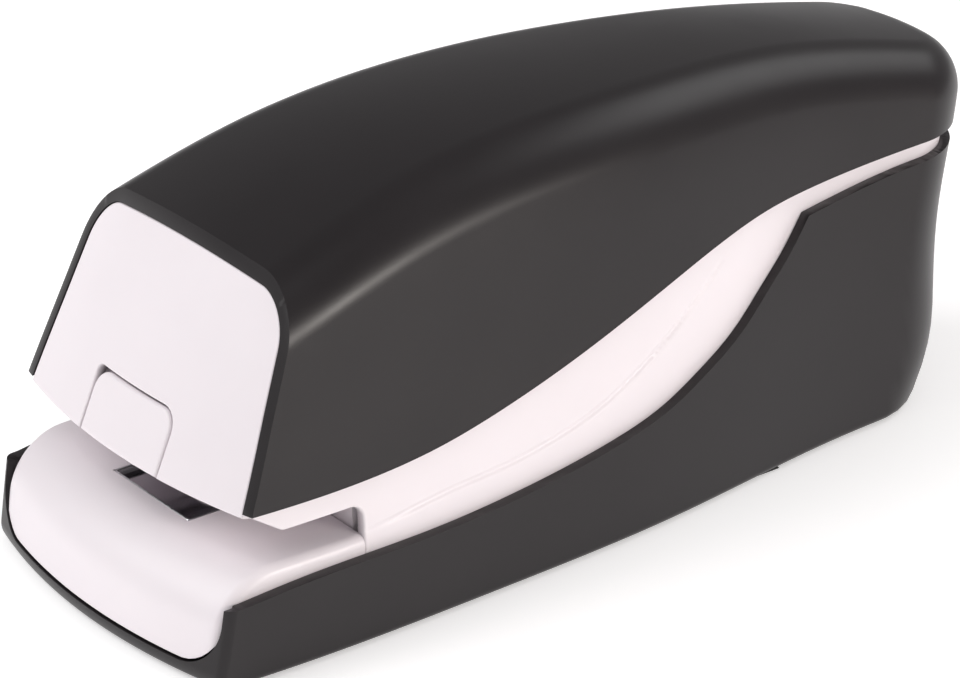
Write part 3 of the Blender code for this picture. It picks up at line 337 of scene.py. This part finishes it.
def white_plastic():
    """Satin white with a trace of warm pink, and a faint moulding waviness."""
    n = Nodes("white_plastic", (0.80, 0.745, 0.775), 0.36)
    n.shader.inputs["Subsurface Weight"].default_value = 0.04
    n.shader.inputs["Subsurface Radius"].default_value = (0.0012, 0.0010, 0.0009)
    cloud = n.noise(45, 3.0)
    grain = n.noise(4200, 2.0)
    return n.use(Base_Color=n.mix(cloud, (0.79, 0.735, 0.765), (0.81, 0.755, 0.785)),
                 Roughness=n.ramp(cloud, 0.33, 0.39), Normal=n.bump(grain, 0.000005, 0.4))


def plain_plastic(name, color, roughness, grain_depth=0.00001):
    n = Nodes(name, color, roughness)
    cloud = n.noise(90, 3.0)
    grain = n.noise(3500, 2.0)
    darker = tuple(c * 0.92 for c in color)
    lighter = tuple(min(1, c * 1.06) for c in color)
    return n.use(Base_Color=n.mix(cloud, darker, lighter),
                 Roughness=n.ramp(cloud, roughness - 0.04, roughness + 0.05),
                 Normal=n.bump(grain, grain_depth, 0.5))


def metal(name, color, roughness, brushed=(1, 1, 1), depth=0.000004):
    """Bare or plated metal with fine drawn lines along the stretched axis."""
    n = Nodes(name, color, roughness, 1.0)
    lines = n.noise(2600, 3.0, brushed)
    cloud = n.noise(120, 3.0)
    darker = tuple(c * 0.9 for c in color)
    return n.use(Base_Color=n.mix(cloud, darker, color),
                 Roughness=n.ramp(lines, roughness - 0.05, roughness + 0.08),
                 Normal=n.bump(lines, depth, 0.6))


def staple_wire():
    """Wires side by side: fine ribs across the strip, one for each staple, with painted shade
    darkening the grooves between the wires.
    """
    n = Nodes("staple_wire", (0.74, 0.74, 0.76), 0.22, 1.0)
    wave = n.add("ShaderNodeTexWave", Scale=310.0)
    wave.wave_type = "BANDS"
    wave.bands_direction = "Y"
    n.link(n.place, wave.inputs["Vector"])
    ribs = wave.outputs["Fac"]
    # base colour darker in the grooves between the wires: painted shade
    return n.use(Base_Color=n.mix(ribs, (0.42, 0.42, 0.44), (0.78, 0.78, 0.8), 0.0, 0.35),
                 Normal=n.bump(ribs, 0.00012, 0.8))


def board_green():
    n = Nodes("board_green", (0.03, 0.14, 0.06), 0.35)
    tracks = n.noise(700, 0.0, (1, 0.25, 1))
    return n.use(Base_Color=n.mix(tracks, (0.02, 0.10, 0.045), (0.05, 0.20, 0.09), 0.48, 0.52),
                 Normal=n.bump(tracks, 0.00003, 0.6))


def cell_jacket():
    """Can jacket: one blue, with a faint random cloudiness in its tone and gloss."""
    n = Nodes("cell_jacket", (0.10, 0.16, 0.22), 0.3, 0.6)
    cloud = n.noise(200, 2.0)
    return n.use(Base_Color=n.mix(cloud, (0.09, 0.14, 0.19), (0.12, 0.19, 0.26)),
                 Roughness=n.ramp(cloud, 0.26, 0.34))


def rubber():
    return plain_plastic("rubber", (0.025, 0.025, 0.026), 0.8, 0.00003)


BLACK = black_plastic()
WHITE = white_plastic()
RUBBER = rubber()
STEEL = metal("steel", (0.58, 0.58, 0.60), 0.28, (1, 0.03, 1))
DARK_STEEL = metal("polished_steel", (0.46, 0.44, 0.47), 0.12)
STAPLES = staple_wire()
BRASS = metal("brass", (0.70, 0.50, 0.22), 0.25)
ACETAL = plain_plastic("gear_plastic", (0.76, 0.75, 0.70), 0.42)
GREY = plain_plastic("grey_plastic", (0.07, 0.07, 0.075), 0.5)
BOARD = board_green()
CELL = cell_jacket()
SLOT_MATERIALS = {"black_plastic": BLACK, "white_plastic": WHITE, "rubber": RUBBER, "steel": STEEL,
                  "staple_wire": STAPLES, "brass": BRASS, "gear_plastic": ACETAL,
                  "grey_plastic": GREY, "circuit_board": BOARD, "cell_jacket": CELL}


def dress_cad_nodes():
    """Every carried-over CAD node takes its slot's material."""
    for part in frame["record"]["subparts"]:
        node = frame["nodes"][part["node"]]
        node.data.materials.clear()
        node.data.materials.append(SLOT_MATERIALS[part["material_slot"]])


# --------------------------------------------------------------- mesh helpers
def new_object(name, bm, finish):
    mesh = bpy.data.meshes.new(name)
    bm.to_mesh(mesh)
    bm.free()
    obj = bpy.data.objects.new(name, mesh)
    bpy.context.scene.collection.objects.link(obj)
    mesh.materials.append(finish)
    mesh.shade_smooth()
    return obj


def both_sides(row):
    """A half section from the +X side to the middle, carried on to the -X side."""
    return np.concatenate([row, row[-2::-1] * (-1, 1, 1)])


def modifier(obj, kind, **settings):
    made = obj.modifiers.new(kind.title(), kind)
    for key, value in settings.items():
        setattr(made, key, value)
    return made


def settled_mesh(obj):
    """Replaces the object's mesh by what its modifiers make of it."""
    bpy.context.view_layer.update()
    graph = bpy.context.evaluated_depsgraph_get()
    mesh = bpy.data.meshes.new_from_object(obj.evaluated_get(graph))
    obj.modifiers.clear()
    obj.data = mesh
    return obj


def shell(name, outer, inner, finish, rounding=RIM_ROUND):
    """A closed moulding between two grids of the same size, with rounded rims."""
    bm = bmesh.new()
    skins = [[[bm.verts.new(p * MM) for p in row] for row in rows] for rows in (outer, inner)]
    for verts in skins:
        for upper, lower in zip(verts, verts[1:]):
            for a, b, c, d in zip(upper, upper[1:], lower[1:], lower):
                bm.faces.new((a, b, c, d))
    loops = []
    for verts in skins:
        loops.append(verts[0] + [row[-1] for row in verts[1:]] + verts[-1][-2::-1]
                     + [row[0] for row in verts[-2:0:-1]])
    count = len(loops[0])
    for k in range(count):
        after = (k + 1) % count
        bm.faces.new((loops[0][k], loops[0][after], loops[1][after], loops[1][k]))
    bmesh.ops.remove_doubles(bm, verts=bm.verts, dist=2e-6)
    bmesh.ops.recalc_face_normals(bm, faces=bm.faces)
    obj = new_object(name, bm, finish)
    modifier(obj, "BEVEL", width=rounding * MM, segments=3, limit_method="ANGLE",
             angle_limit=math.radians(55))
    return settled_mesh(obj)


def true_normals(obj, field, sharp=38.0, reach=0.1):
    """Smooth shading by angle, with the form's own normals wherever a face lies on the form."""
    mesh = obj.data
    mesh.set_sharp_from_angle(angle=math.radians(sharp))
    corners = np.empty(len(mesh.loops) * 3)
    mesh.corner_normals.foreach_get("vector", corners)
    corners = corners.reshape(-1, 3)
    verts = np.empty(len(mesh.vertices) * 3)
    mesh.vertices.foreach_get("co", verts)
    verts = verts.reshape(-1, 3) / MM
    loops = np.empty(len(mesh.loops), int)
    mesh.loops.foreach_get("vertex_index", loops)
    faces = np.empty(len(mesh.polygons) * 3)
    mesh.polygons.foreach_get("normal", faces)
    totals = np.empty(len(mesh.polygons), int)
    mesh.polygons.foreach_get("loop_total", totals)
    face_normals = np.repeat(faces.reshape(-1, 3), totals, axis=0)
    close = np.abs(field(verts)) < reach
    form = np.zeros_like(verts)
    form[close] = slope_of(field, verts[close])
    along = (form[loops] * face_normals).sum(axis=1) > math.cos(math.radians(25))
    normals = np.where((close[loops] & along)[:, None], form[loops], corners)
    mesh.normals_split_custom_set(normals.tolist())
    return obj


def cutter_box(low, high):
    bm = bmesh.new()
    bmesh.ops.create_cube(bm, size=1.0)
    low, high = np.array(low, float) * MM, np.array(high, float) * MM
    bmesh.ops.scale(bm, vec=high - low, verts=bm.verts)
    bmesh.ops.translate(bm, vec=(low + high) / 2, verts=bm.verts)
    return new_object("cutter", bm, GREY)


def cutter_rod(matrix, radius, length, sides=48):
    bm = bmesh.new()
    bmesh.ops.create_cone(bm, cap_ends=True, segments=sides, radius1=radius * MM,
                          radius2=radius * MM, depth=length * MM)
    bmesh.ops.transform(bm, matrix=matrix, verts=bm.verts)
    return new_object("cutter", bm, GREY)


def carve(obj, cutters, operation="DIFFERENCE"):
    for cutter in cutters:
        modifier(obj, "BOOLEAN", operation=operation, solver="EXACT", object=cutter)
    settled_mesh(obj)
    for cutter in cutters:
        bpy.data.objects.remove(cutter)
    return obj


def done(obj, slot, *nodes, body="body"):
    """Parents a finished piece to its body's empty and hides the CAD nodes it stands in for."""
    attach(obj, body)
    if nodes:
        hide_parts(*nodes)
    return obj


def panel(name, outline, place, finish, depth, rounding, cell, flip=False):
    """A closed plate with rounded front edges on a curved surface.

    outline is a closed loop in (u, v), place(u, v) gives the surface's points, and cell is
    the spacing of the cuts that let the plate follow the surface, in u and in v.
    """
    loop = np.array(outline, float)
    ahead = np.roll(loop, -1, axis=0) - loop
    behind = loop - np.roll(loop, 1, axis=0)
    ahead /= np.linalg.norm(ahead, axis=1)[:, None]
    behind /= np.linalg.norm(behind, axis=1)[:, None]
    normal_a = np.stack([ahead[:, 1], -ahead[:, 0]], axis=1)
    normal_b = np.stack([behind[:, 1], -behind[:, 0]], axis=1)
    out = normal_a + normal_b
    out /= np.maximum((out * normal_a).sum(axis=1), 0.3)[:, None]
    turns = np.linspace(0, math.pi / 2, 5)
    layers = [(0.0, depth)] + [(rounding * (1 - math.cos(t)), rounding * (1 - math.sin(t)))
                               for t in turns]
    bm = bmesh.new()
    rings = [[bm.verts.new((*(p - n * inset), sunk)) for p, n in zip(loop, out)]
             for inset, sunk in layers]
    count = len(loop)
    for low, high in zip(rings, rings[1:]):
        for k in range(count):
            bm.faces.new((low[k], low[(k + 1) % count], high[(k + 1) % count], high[k]))
    front = bm.faces.new(rings[-1])
    back = bm.faces.new(rings[0][::-1])
    bmesh.ops.triangulate(bm, faces=[front, back])
    for axis in (0, 1):
        if not cell[axis]:
            continue
        low, high = loop[:, axis].min(), loop[:, axis].max()
        for cut in np.arange(low + cell[axis] * 0.5, high, cell[axis]):
            where, normal = [0, 0, 0], [0, 0, 0]
            where[axis], normal[axis] = cut, 1
            bmesh.ops.bisect_plane(bm, geom=bm.verts[:] + bm.edges[:] + bm.faces[:], dist=1e-4,
                                   plane_co=where, plane_no=normal)
    flat = np.array([v.co for v in bm.verts])
    u, v, sunk = flat.T
    small = 0.02
    du = place(u + small, v) - place(u - small, v)
    dv = place(u, v + small) - place(u, v - small)
    normals = np.cross(du, dv)
    normals /= np.linalg.norm(normals, axis=1)[:, None]
    if flip:
        normals = -normals
    points = place(u, v) - normals * sunk[:, None]
    for vert, point in zip(bm.verts, points):
        vert.co = point * MM
    bmesh.ops.dissolve_degenerate(bm, dist=1e-7, edges=bm.edges)
    if flip:
        bmesh.ops.reverse_faces(bm, faces=bm.faces)
    obj = new_object(name, bm, finish)
    return obj


def panel_normals(obj, surface_normals):
    """Front vertices take the surface's own normals, the rest keep the mesh's."""
    mesh = obj.data
    made = np.empty(len(mesh.vertices) * 3)
    mesh.vertex_normals.foreach_get("vector", made)
    made = made.reshape(-1, 3)
    verts = np.empty(len(mesh.vertices) * 3)
    mesh.vertices.foreach_get("co", verts)
    normals, front = surface_normals(verts.reshape(-1, 3) / MM)
    made[front] = normals[front]
    mesh.normals_split_custom_set_from_vertices(made.tolist())
    return obj


# ------------------------------------------------------------- outer casings
def make_top_cover():
    """The dark cover: a station is a place along it, its fan's turn and its lean with the face."""
    front_half = half_width(-77.0) + lean_in(COVER_EDGE[0][1])
    first_y = float(face_y(front_half, COVER_EDGE[0][1]))
    stations = [(first_y, 90, 1.0), (-66, 90, 0.75), (-54, 90, 0.4), (-42, 90, 0.1), (-29, 90, 0),
                (36, 90, 0), (48, 84, 0), (58, 70, 0), (65, 54, 0), (70, 37, 0), (74, 18, 0),
                (76, 0, 0)]
    outer, inner = [], []
    for y, turn, slant in refine(stations, 1.6, 2.5):
        toward = direction(turn, 1.0) + (0, FACE_LEAN * slant, 0)
        core = (0, y, float(cover_edge(y)))
        skins = fan_row(body_field, core, toward, FACE_BOW * slant, 44, SHELL)
        for rows, row in zip((outer, inner), skins):
            rows.append(both_sides(row))
    cover = shell("cover_shell", outer, inner, BLACK)
    true_normals(cover, body_field)
    done(cover, "black_plastic", "top_cover")


def lip_row(columns):
    """The front edge of the base shell, where the white lip comes down to it."""
    top = float(rim_edge(-81.0))
    flat = fan_row(lambda p: lip_field(p[..., 0], p[..., 2]), (0, 0, top), (0, 0, -1), 0, columns)

    def path(r):
        return flat * (1, 0, 1) + np.outer(r, (0, -1, 0)) + (0, -60, 0)
    return root_along(base_field, path, np.full(columns, 40.0))


def nose_column(start, end, count):
    """Points from the front edge down the front, round its lower corner and back to a section."""
    core = np.array((start[0], end[1], start[2]))
    ahead, aside = start - core, end - core
    ahead /= np.linalg.norm(ahead)
    aside /= np.linalg.norm(aside)

    def cast(angles):
        toward = np.outer(np.cos(angles), ahead) + np.outer(np.sin(angles), aside)
        return root_along(base_field, lambda r: core + r[:, None] * toward,
                          np.full(len(angles), 60.0))

    dense = np.linspace(0, 1, 300) ** 2 * math.pi / 2
    return cast(np.interp(spread(cast(dense), count, 4.0), np.linspace(0, 1, len(dense)), dense))


def base_skins(columns):
    """Outer and inner skins of the base, from its nose to the middle of its rear wall."""
    stations = [(-79, 90), (27, 90), (43, 90), (52, 86), (58, 77), (62, 70.5), (64, 67), (67, 60),
                (71, 42), (74.5, 20), (76, 0)]
    pairs = [fan_row(base_field, (0, y, float(rim_edge(y))), direction(turn, -1.0), 0, columns,
                     SHELL)
             for y, turn in refine(stations, 1.7, 2.5)]
    nose = [nose_column(start, end, 26) for start, end in zip(lip_row(columns), pairs[0][0])]
    outer, inner = [], []
    for row in np.stack(nose, axis=1)[:-1]:
        outer.append(both_sides(row))
        inner.append(both_sides(settle(lambda p: base_field(p) + SHELL,
                                       row - slope_of(base_field, row) * SHELL)))
    for row, inner_row in pairs:
        outer.append(both_sides(row))
        inner.append(both_sides(inner_row))
    return outer, inner


def make_base():
    outer, inner = base_skins(64)
    base = shell("base_bowl", outer, inner, BLACK)
    door = base.copy()
    door.data = base.data.copy()
    door.name = "battery_hatch"
    bpy.context.scene.collection.objects.link(door)
    cutters = []
    for number in range(1, 5):
        low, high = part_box(f"base_screw_{number}")
        centre = (low + high) / 2
        cutters.append(cutter_rod(Matrix.Translation((centre.x, centre.y, 0)), 2.5, 24))
    low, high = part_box("dc_inlet")
    centre = (low + high) / 2
    turn = Matrix.Rotation(math.pi / 2, 4, "X")
    cutters.append(cutter_rod(Matrix.Translation((centre.x, high.y, centre.z)) @ turn, 4.3, 16))
    cutters.append(cutter_box((-DOOR_HALF, DOOR_FRONT_Y, -5), (DOOR_HALF, 100, DOOR_LIP_Z)))
    carve(base, cutters)
    carve(door, [cutter_box((-DOOR_HALF + GAP, DOOR_FRONT_Y + GAP, -5),
                            (DOOR_HALF - GAP, 100, DOOR_LIP_Z - GAP))], "INTERSECT")
    true_normals(base, base_field)
    true_normals(door, base_field)
    done(base, "black_plastic", "base_shell")
    done(door, "black_plastic", "battery_door", body="door")


def deck_section(y, toward, columns):
    """The deck's skin from the middle of its top outwards and down to its lower edge."""
    core = np.array((0.0, y, DECK_CORE_Z))

    def cast(tilt, inset=0.0):
        rays = np.outer(np.cos(tilt), toward) + np.outer(np.sin(tilt), (0, 0, 1))
        return root_along(lambda p: deck_field(p) + inset, lambda r: core + r[:, None] * rays,
                          np.full(len(tilt), 150.0))

    # the lowest ray meets the lip's lower edge in front, or the skirt's at the sides
    lowest = -0.05
    for _ in range(12):
        x, reach_y, _ = cast(np.array([lowest]))[0]
        levels = np.linspace(LIP_BOTTOM + LIP_GAP, DECK_Z, 400)
        inside = lip_field(x, levels, LIP_GAP) < 0
        on_nose = inside.any() and reach_y < nose_y(x, 9.0) + 2
        edge_z = levels[inside][0] if on_nose else DECK_SKIRT_Z
        reach = math.hypot(x, reach_y - y)
        lowest += 0.6 * (math.atan2(min(edge_z, DECK_SKIRT_Z) - DECK_CORE_Z, reach) - lowest)
    dense = np.linspace(math.pi / 2, lowest, 240)
    chosen = np.interp(spread(cast(dense), columns, 12.0), np.linspace(0, 1, len(dense)), dense)
    return cast(chosen), cast(chosen, WHITE_WALL)


def make_deck():
    straight = np.arange(DECK_REAR_Y, DECK_FAN_Y - 0.1, -1.2)
    dense = np.linspace(0, math.pi / 2, 200)
    core = np.array((0.0, DECK_FAN_Y, DECK_CORE_Z))
    fan = np.stack([np.cos(dense), -np.sin(dense), np.zeros_like(dense)], axis=1)
    rim = root_along(deck_field, lambda r: core + r[:, None] * fan, np.full(len(dense), 60.0))
    angles = np.interp(spread(rim, 50, 20.0), np.linspace(0, 1, len(dense)), dense)
    sections = [deck_section(y, (1, 0, 0), 48) for y in straight]
    sections += [deck_section(DECK_FAN_Y, (math.cos(a), -math.sin(a), 0), 48) for a in angles]
    skins = [[pair[k] for pair in sections] + [pair[k] * (-1, 1, 1) for pair in sections[-2::-1]]
             for k in (0, 1)]
    deck = shell("deck_shell", *skins, WHITE, 0.2)
    carve(deck, [cutter_box((-WELL_HALF, WELL_FRONT_Y, 10), (WELL_HALF, WELL_REAR_Y, 30))])
    true_normals(deck, deck_field)
    done(deck, "white_plastic", "base_deck")


# ------------------------------------------------------------ white side walls
CORNER_SPEED = 0.46       # millimetres of the wall's own length per degree round the rear corner
CORNER_Y = 62.0
CREASE_DEPTH, CREASE_HALF = 0.4, 0.5
WALL_CELL = (1.0, 0.28)   # spacing of the wall's cuts, fine enough upwards for the groove


def crease_depth(y, z):
    """A shallow soft groove that fades out at both ends."""
    fade = np.clip((y + 58) / 12, 0, 1) * np.clip((26 - y) / 14, 0, 1)
    off = (z - crease_height(y)) / CREASE_HALF
    return CREASE_DEPTH * fade * np.exp(-off ** 2)


def wall_place(u, v):
    """The white wall's surface: u runs along the side and round the rear corner, v is height."""
    u, v = np.asarray(u, float), np.asarray(v, float)
    angle = np.radians(np.clip((u - CORNER_Y) / CORNER_SPEED, 0, None))
    start = np.stack([np.zeros_like(u), np.minimum(u, CORNER_Y), v], axis=-1)
    toward = np.stack([np.cos(angle), np.sin(angle), np.zeros_like(u)], axis=-1)
    inset = WHITE_INSET + crease_depth(u, v)
    return root_along(lambda p: body_field(p) + inset, lambda r: start + r[:, None] * toward,
                      np.full(len(u), 60.0))


def arc_between(points, corners):
    """A closed outline whose named corners are rounded: corners maps an index to its radius."""
    found = []
    count = len(points)
    for k, point in enumerate(points):
        point = np.array(point, float)
        if k not in corners:
            found.append(tuple(point))
            continue
        radius, before = corners[k], np.array(points[k - 1], float) - point
        after = np.array(points[(k + 1) % count], float) - point
        before /= np.linalg.norm(before)
        after /= np.linalg.norm(after)
        half = math.acos(np.clip(before @ after, -1, 1)) / 2
        run = radius / math.tan(half)
        inward = (before + after) / np.linalg.norm(before + after)
        centre = point + inward * radius / math.sin(half)
        start, end = point + before * run - centre, point + after * run - centre
        first = math.atan2(start[1], start[0])
        swing = (math.atan2(end[1], end[0]) - first + math.pi) % (2 * math.pi) - math.pi
        for t in np.linspace(0, 1, 7):
            angle = first + swing * t
            found.append((centre[0] + radius * math.cos(angle),
                          centre[1] + radius * math.sin(angle)))
    return found


def side_wall_outline():
    """The white wall in (u, height): cut out round the throat, and tucked 4 mm under the dark rims."""
    last_u = CORNER_Y + 90 * CORNER_SPEED - GAP / 2
    front = face_y(30.0, CHAMFER_Z) + WHITE_WALL + 0.6
    top_front = face_y(28.0, 33.0) + WHITE_WALL + 0.6
    corners = [(front, CHAMFER_Z - 0.6), (CHAMFER_REAR_Y, CEILING_Z), (DECK_REAR_Y, CEILING_Z),
               (DECK_REAR_Y, 10.0)]
    points = arc_between(corners, {1: 1.2, 2: 2.2})
    points = [(front, CHAMFER_Z - 0.6)] + points[1:]
    along = np.arange(-50, last_u, 6.0)
    points += [(u, float(rim_edge(min(u, 75))) - 4.0) for u in along]
    points += [(last_u, float(rim_edge(75)) - 4.0), (last_u, float(cover_edge(75)) + 4.0)]
    points += [(u, float(cover_edge(min(u, 75))) + 4.0) for u in along[::-1]]
    points += [(-62.0, float(cover_edge(-62)) + 4.0), (top_front, 33.0)]
    return points


def wall_normals(verts):
    """The wall's own normals, groove and all, and which vertices lie on its face."""
    y, z = verts[:, 1], verts[:, 2]
    inset = WHITE_INSET + np.where(y < CORNER_Y, crease_depth(y, z), 0)
    front = np.abs(body_field(verts) + inset) < 0.03
    small = 0.02
    rise_y = (crease_depth(y + small, z) - crease_depth(y - small, z)) / (2 * small)
    rise_z = (crease_depth(y, z + small) - crease_depth(y, z - small)) / (2 * small)
    normals = slope_of(body_field, verts) + np.stack([np.zeros_like(y), rise_y, rise_z], axis=1)
    return normals / np.linalg.norm(normals, axis=1)[:, None], front


def make_side_walls():
    outline = side_wall_outline()
    for name, node, side in (("side_wall_right", "housing_right", 1),
                             ("side_wall_left", "housing_left", -1)):
        def place(u, v, s=side):
            return wall_place(u, v) * (s, 1, 1)
        wall = panel(name, outline, place, WHITE, WHITE_WALL, 0.45, WALL_CELL, flip=side < 0)
        panel_normals(wall, wall_normals)
        done(wall, "white_plastic", node)


# ------------------------------------------------------------------ head front
FACE_DROP = 0.12          # the white face stands this far behind the dark rim


def face_place(u, v):
    """A point of the white face, u across it and v its height."""
    return np.stack([u, face_y(u, v) + FACE_DROP, v], axis=-1)


def face_normals(verts):
    """The white face's own normals, and which vertices lie on it."""
    x, y, z = verts.T
    normals = np.stack([2 * FACE_BOW * x, -np.ones_like(x), np.full_like(x, FACE_LEAN)], axis=1)
    normals /= np.linalg.norm(normals, axis=1)[:, None]
    return normals, np.abs(y - face_y(x, z) - FACE_DROP) < 0.004


def tab_outline(grow, bottom, left_radius, right_radius):
    """The drawer front's outline in (x, z), anticlockwise from its lower left corner."""
    half, top = TAB_HALF + grow, TAB_TOP_Z + grow
    corners = [(-half, bottom), (half, bottom), (half, top), (-half, top)]
    return arc_between(corners, {2: right_radius, 3: left_radius})


def make_fascia():
    def field(p):
        return body_field(p) + SHELL + 0.12
    start_y = float(face_y(half_width(-77.0) - 3, FACE_BOTTOM_Z)) + GAP
    outer = fan_row(field, (0, start_y, FACE_BOTTOM_Z), (0, FACE_LEAN, 1), FACE_BOW, 46)
    edge = [(x, z) for x, _, z in both_sides(outer)]
    notch = tab_outline(0.35, FACE_BOTTOM_Z, 1.2, TAB_CORNER_R + 0.35)
    # from the right end over the top to the left end, then along the bottom with the notch
    outline = edge + notch[:1] + notch[1:][::-1]
    fascia = panel("head_face", outline, face_place, WHITE, WHITE_WALL, 0.35, (2.0, 0))
    panel_normals(fascia, face_normals)
    done(fascia, "white_plastic", "front_fascia")


def make_tab():
    """The drawer's front, a soft pillow a little proud of the face, over the CAD's block."""
    outline = tab_outline(0, FACE_BOTTOM_Z, TAB_CORNER_R + 0.4, TAB_CORNER_R)
    tab = panel("drawer_front", outline, face_place, WHITE, 2.6, 0.55, (1.5, 0))
    panel_normals(tab, face_normals)
    block = cutter_box((-6.7, -77.5, 29.0), (6.7, -68.0, 33.3))
    carve(tab, [block], "UNION")
    done(tab, "white_plastic", "magazine_front", body="magazine")


# -------------------------------------------------------------------- clincher
def make_clincher():
    """Polished clincher plate with its two forming grooves and a thin raised frame."""
    low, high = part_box("anvil_plate")
    groove_y = -67.0

    def height(x, y):
        along = np.clip(1 - np.abs(np.abs(x) - 3.9) / 3.1, 0, 1) ** 0.5
        return -0.9 * np.exp(-((y - groove_y) / 0.75) ** 2) * along
    xs = np.linspace(low.x / MM, high.x / MM, 64)
    ys = np.linspace(low.y / MM, high.y / MM, 60)
    rows = [np.stack([xs, np.full_like(xs, y), high.z / MM + height(xs, y)], axis=-1) for y in ys]
    plate = shell("clincher_plate", rows, [row - (0, 0, 1.0) for row in rows], DARK_STEEL, 0.12)
    plate.data.set_sharp_from_angle(angle=math.radians(40))
    done(plate, "steel", "anvil_plate")

    half, front, rear, width = WELL_HALF - 0.02, WELL_FRONT_Y + 0.02, WELL_REAR_Y - 0.02, 0.45
    outer = arc_between([(-half, front), (half, front), (half, rear), (-half, rear)],
                        {0: 0.8, 1: 0.8, 2: 0.8, 3: 0.8})
    inner = arc_between([(-half + width, front + width), (half - width, front + width),
                         (half - width, rear - width), (-half + width, rear - width)],
                        {0: 0.5, 1: 0.5, 2: 0.5, 3: 0.5})
    bm = bmesh.new()
    top = DECK_Z + 0.03
    loops = []
    for loop, z in ((outer, top - 1.5), (outer, top - 0.1), (outer, top), (inner, top),
                    (inner, top - 0.1), (inner, top - 1.9)):
        shrink = 0.08 if z == top else 0.0
        grow = np.array(loop, float)
        middle = np.array((0, (front + rear) / 2))
        sense = -1 if loop is outer else 1
        grow = grow + sense * shrink * np.sign(grow - middle)
        loops.append([bm.verts.new((x * MM, y * MM, z * MM)) for x, y in grow])
    for a, b in zip(loops, loops[1:] + loops[:1]):
        for k in range(len(a)):
            bm.faces.new((a[k], a[(k + 1) % len(a)], b[(k + 1) % len(b)], b[k]))
    bmesh.ops.recalc_face_normals(bm, faces=bm.faces)
    rim = new_object("clincher_frame", bm, STEEL)
    rim.data.set_sharp_from_angle(angle=math.radians(40))
    done(rim, "steel")


# ------------------------------------------------------------------------ stage
def make_stage():
    n = Nodes("floor", (0.9, 0.9, 0.9), 0.6)
    n.shader.inputs["Emission Color"].default_value = (1.0, 0.985, 0.99, 1.0)
    n.shader.inputs["Emission Strength"].default_value = 0.42
    cloud = n.noise(3, 3.0)
    floor_material = n.use(Roughness=n.ramp(cloud, 0.55, 0.65))
    bm = bmesh.new()
    bmesh.ops.create_grid(bm, x_segments=1, y_segments=1, size=4.0)
    floor = new_object("floor", bm, floor_material)
    world = bpy.data.worlds.new("studio")
    bpy.context.scene.world = world
    world.use_nodes = True
    background = world.node_tree.nodes["Background"]
    background.inputs["Color"].default_value = (1.0, 0.985, 0.99, 1)
    background.inputs["Strength"].default_value = 0.34


def look_from(azimuth, elevation):
    """Unit vector from the stapler towards a light or the camera."""
    a, e = math.radians(azimuth), math.radians(elevation)
    return Vector((math.sin(a) * math.cos(e), -math.cos(a) * math.cos(e), math.sin(e)))


def softbox(name, azimuth, elevation, distance, width, height, power, color=(1, 1, 1)):
    """An area light aimed at the stapler; azimuth is 0 in front and 90 at +X."""
    data = bpy.data.lights.new(name, "AREA")
    data.shape = "RECTANGLE"
    data.size, data.size_y, data.energy, data.color = width, height, power, color
    light = bpy.data.objects.new(name, data)
    back = look_from(azimuth, elevation)
    light.location = back * distance + Vector((0, 0, 0.03))
    light.rotation_euler = (-back).to_track_quat("-Z", "Y").to_euler()
    bpy.context.scene.collection.objects.link(light)


def make_lights():
    softbox("key", -28, 40, 1.6, 1.2, 1.2, 16)
    softbox("fill", 60, 62, 1.8, 1.0, 1.0, 2)
    softbox("shoulder_strip", 109, 14, 1.2, 0.42, 0.1, 6.5, (1.0, 0.94, 0.89))
    softbox("back", 172, 40, 1.4, 0.7, 0.5, 3)


def make_camera():
    """A long lens from the front right, above the table."""
    distance, target = 0.6887, Vector((-23.11, 9.29, 12.79)) * MM
    back = look_from(52.46, 25.59)
    data = bpy.data.cameras.new("camera")
    data.sensor_width, data.lens = 36.0, 146.88
    data.clip_start, data.clip_end = 0.05, 20.0
    camera = bpy.data.objects.new("camera", data)
    camera.location = target + back * distance
    camera.rotation_euler = (-back).to_track_quat("-Z", "Y").to_euler()
    bpy.context.scene.collection.objects.link(camera)
    bpy.context.scene.camera = camera


dress_cad_nodes()
make_top_cover()
make_base()
make_deck()
make_side_walls()
make_fascia()
make_tab()
make_clincher()
make_stage()
make_lights()
make_camera()
bpy.context.scene.view_settings.view_transform = "Standard"
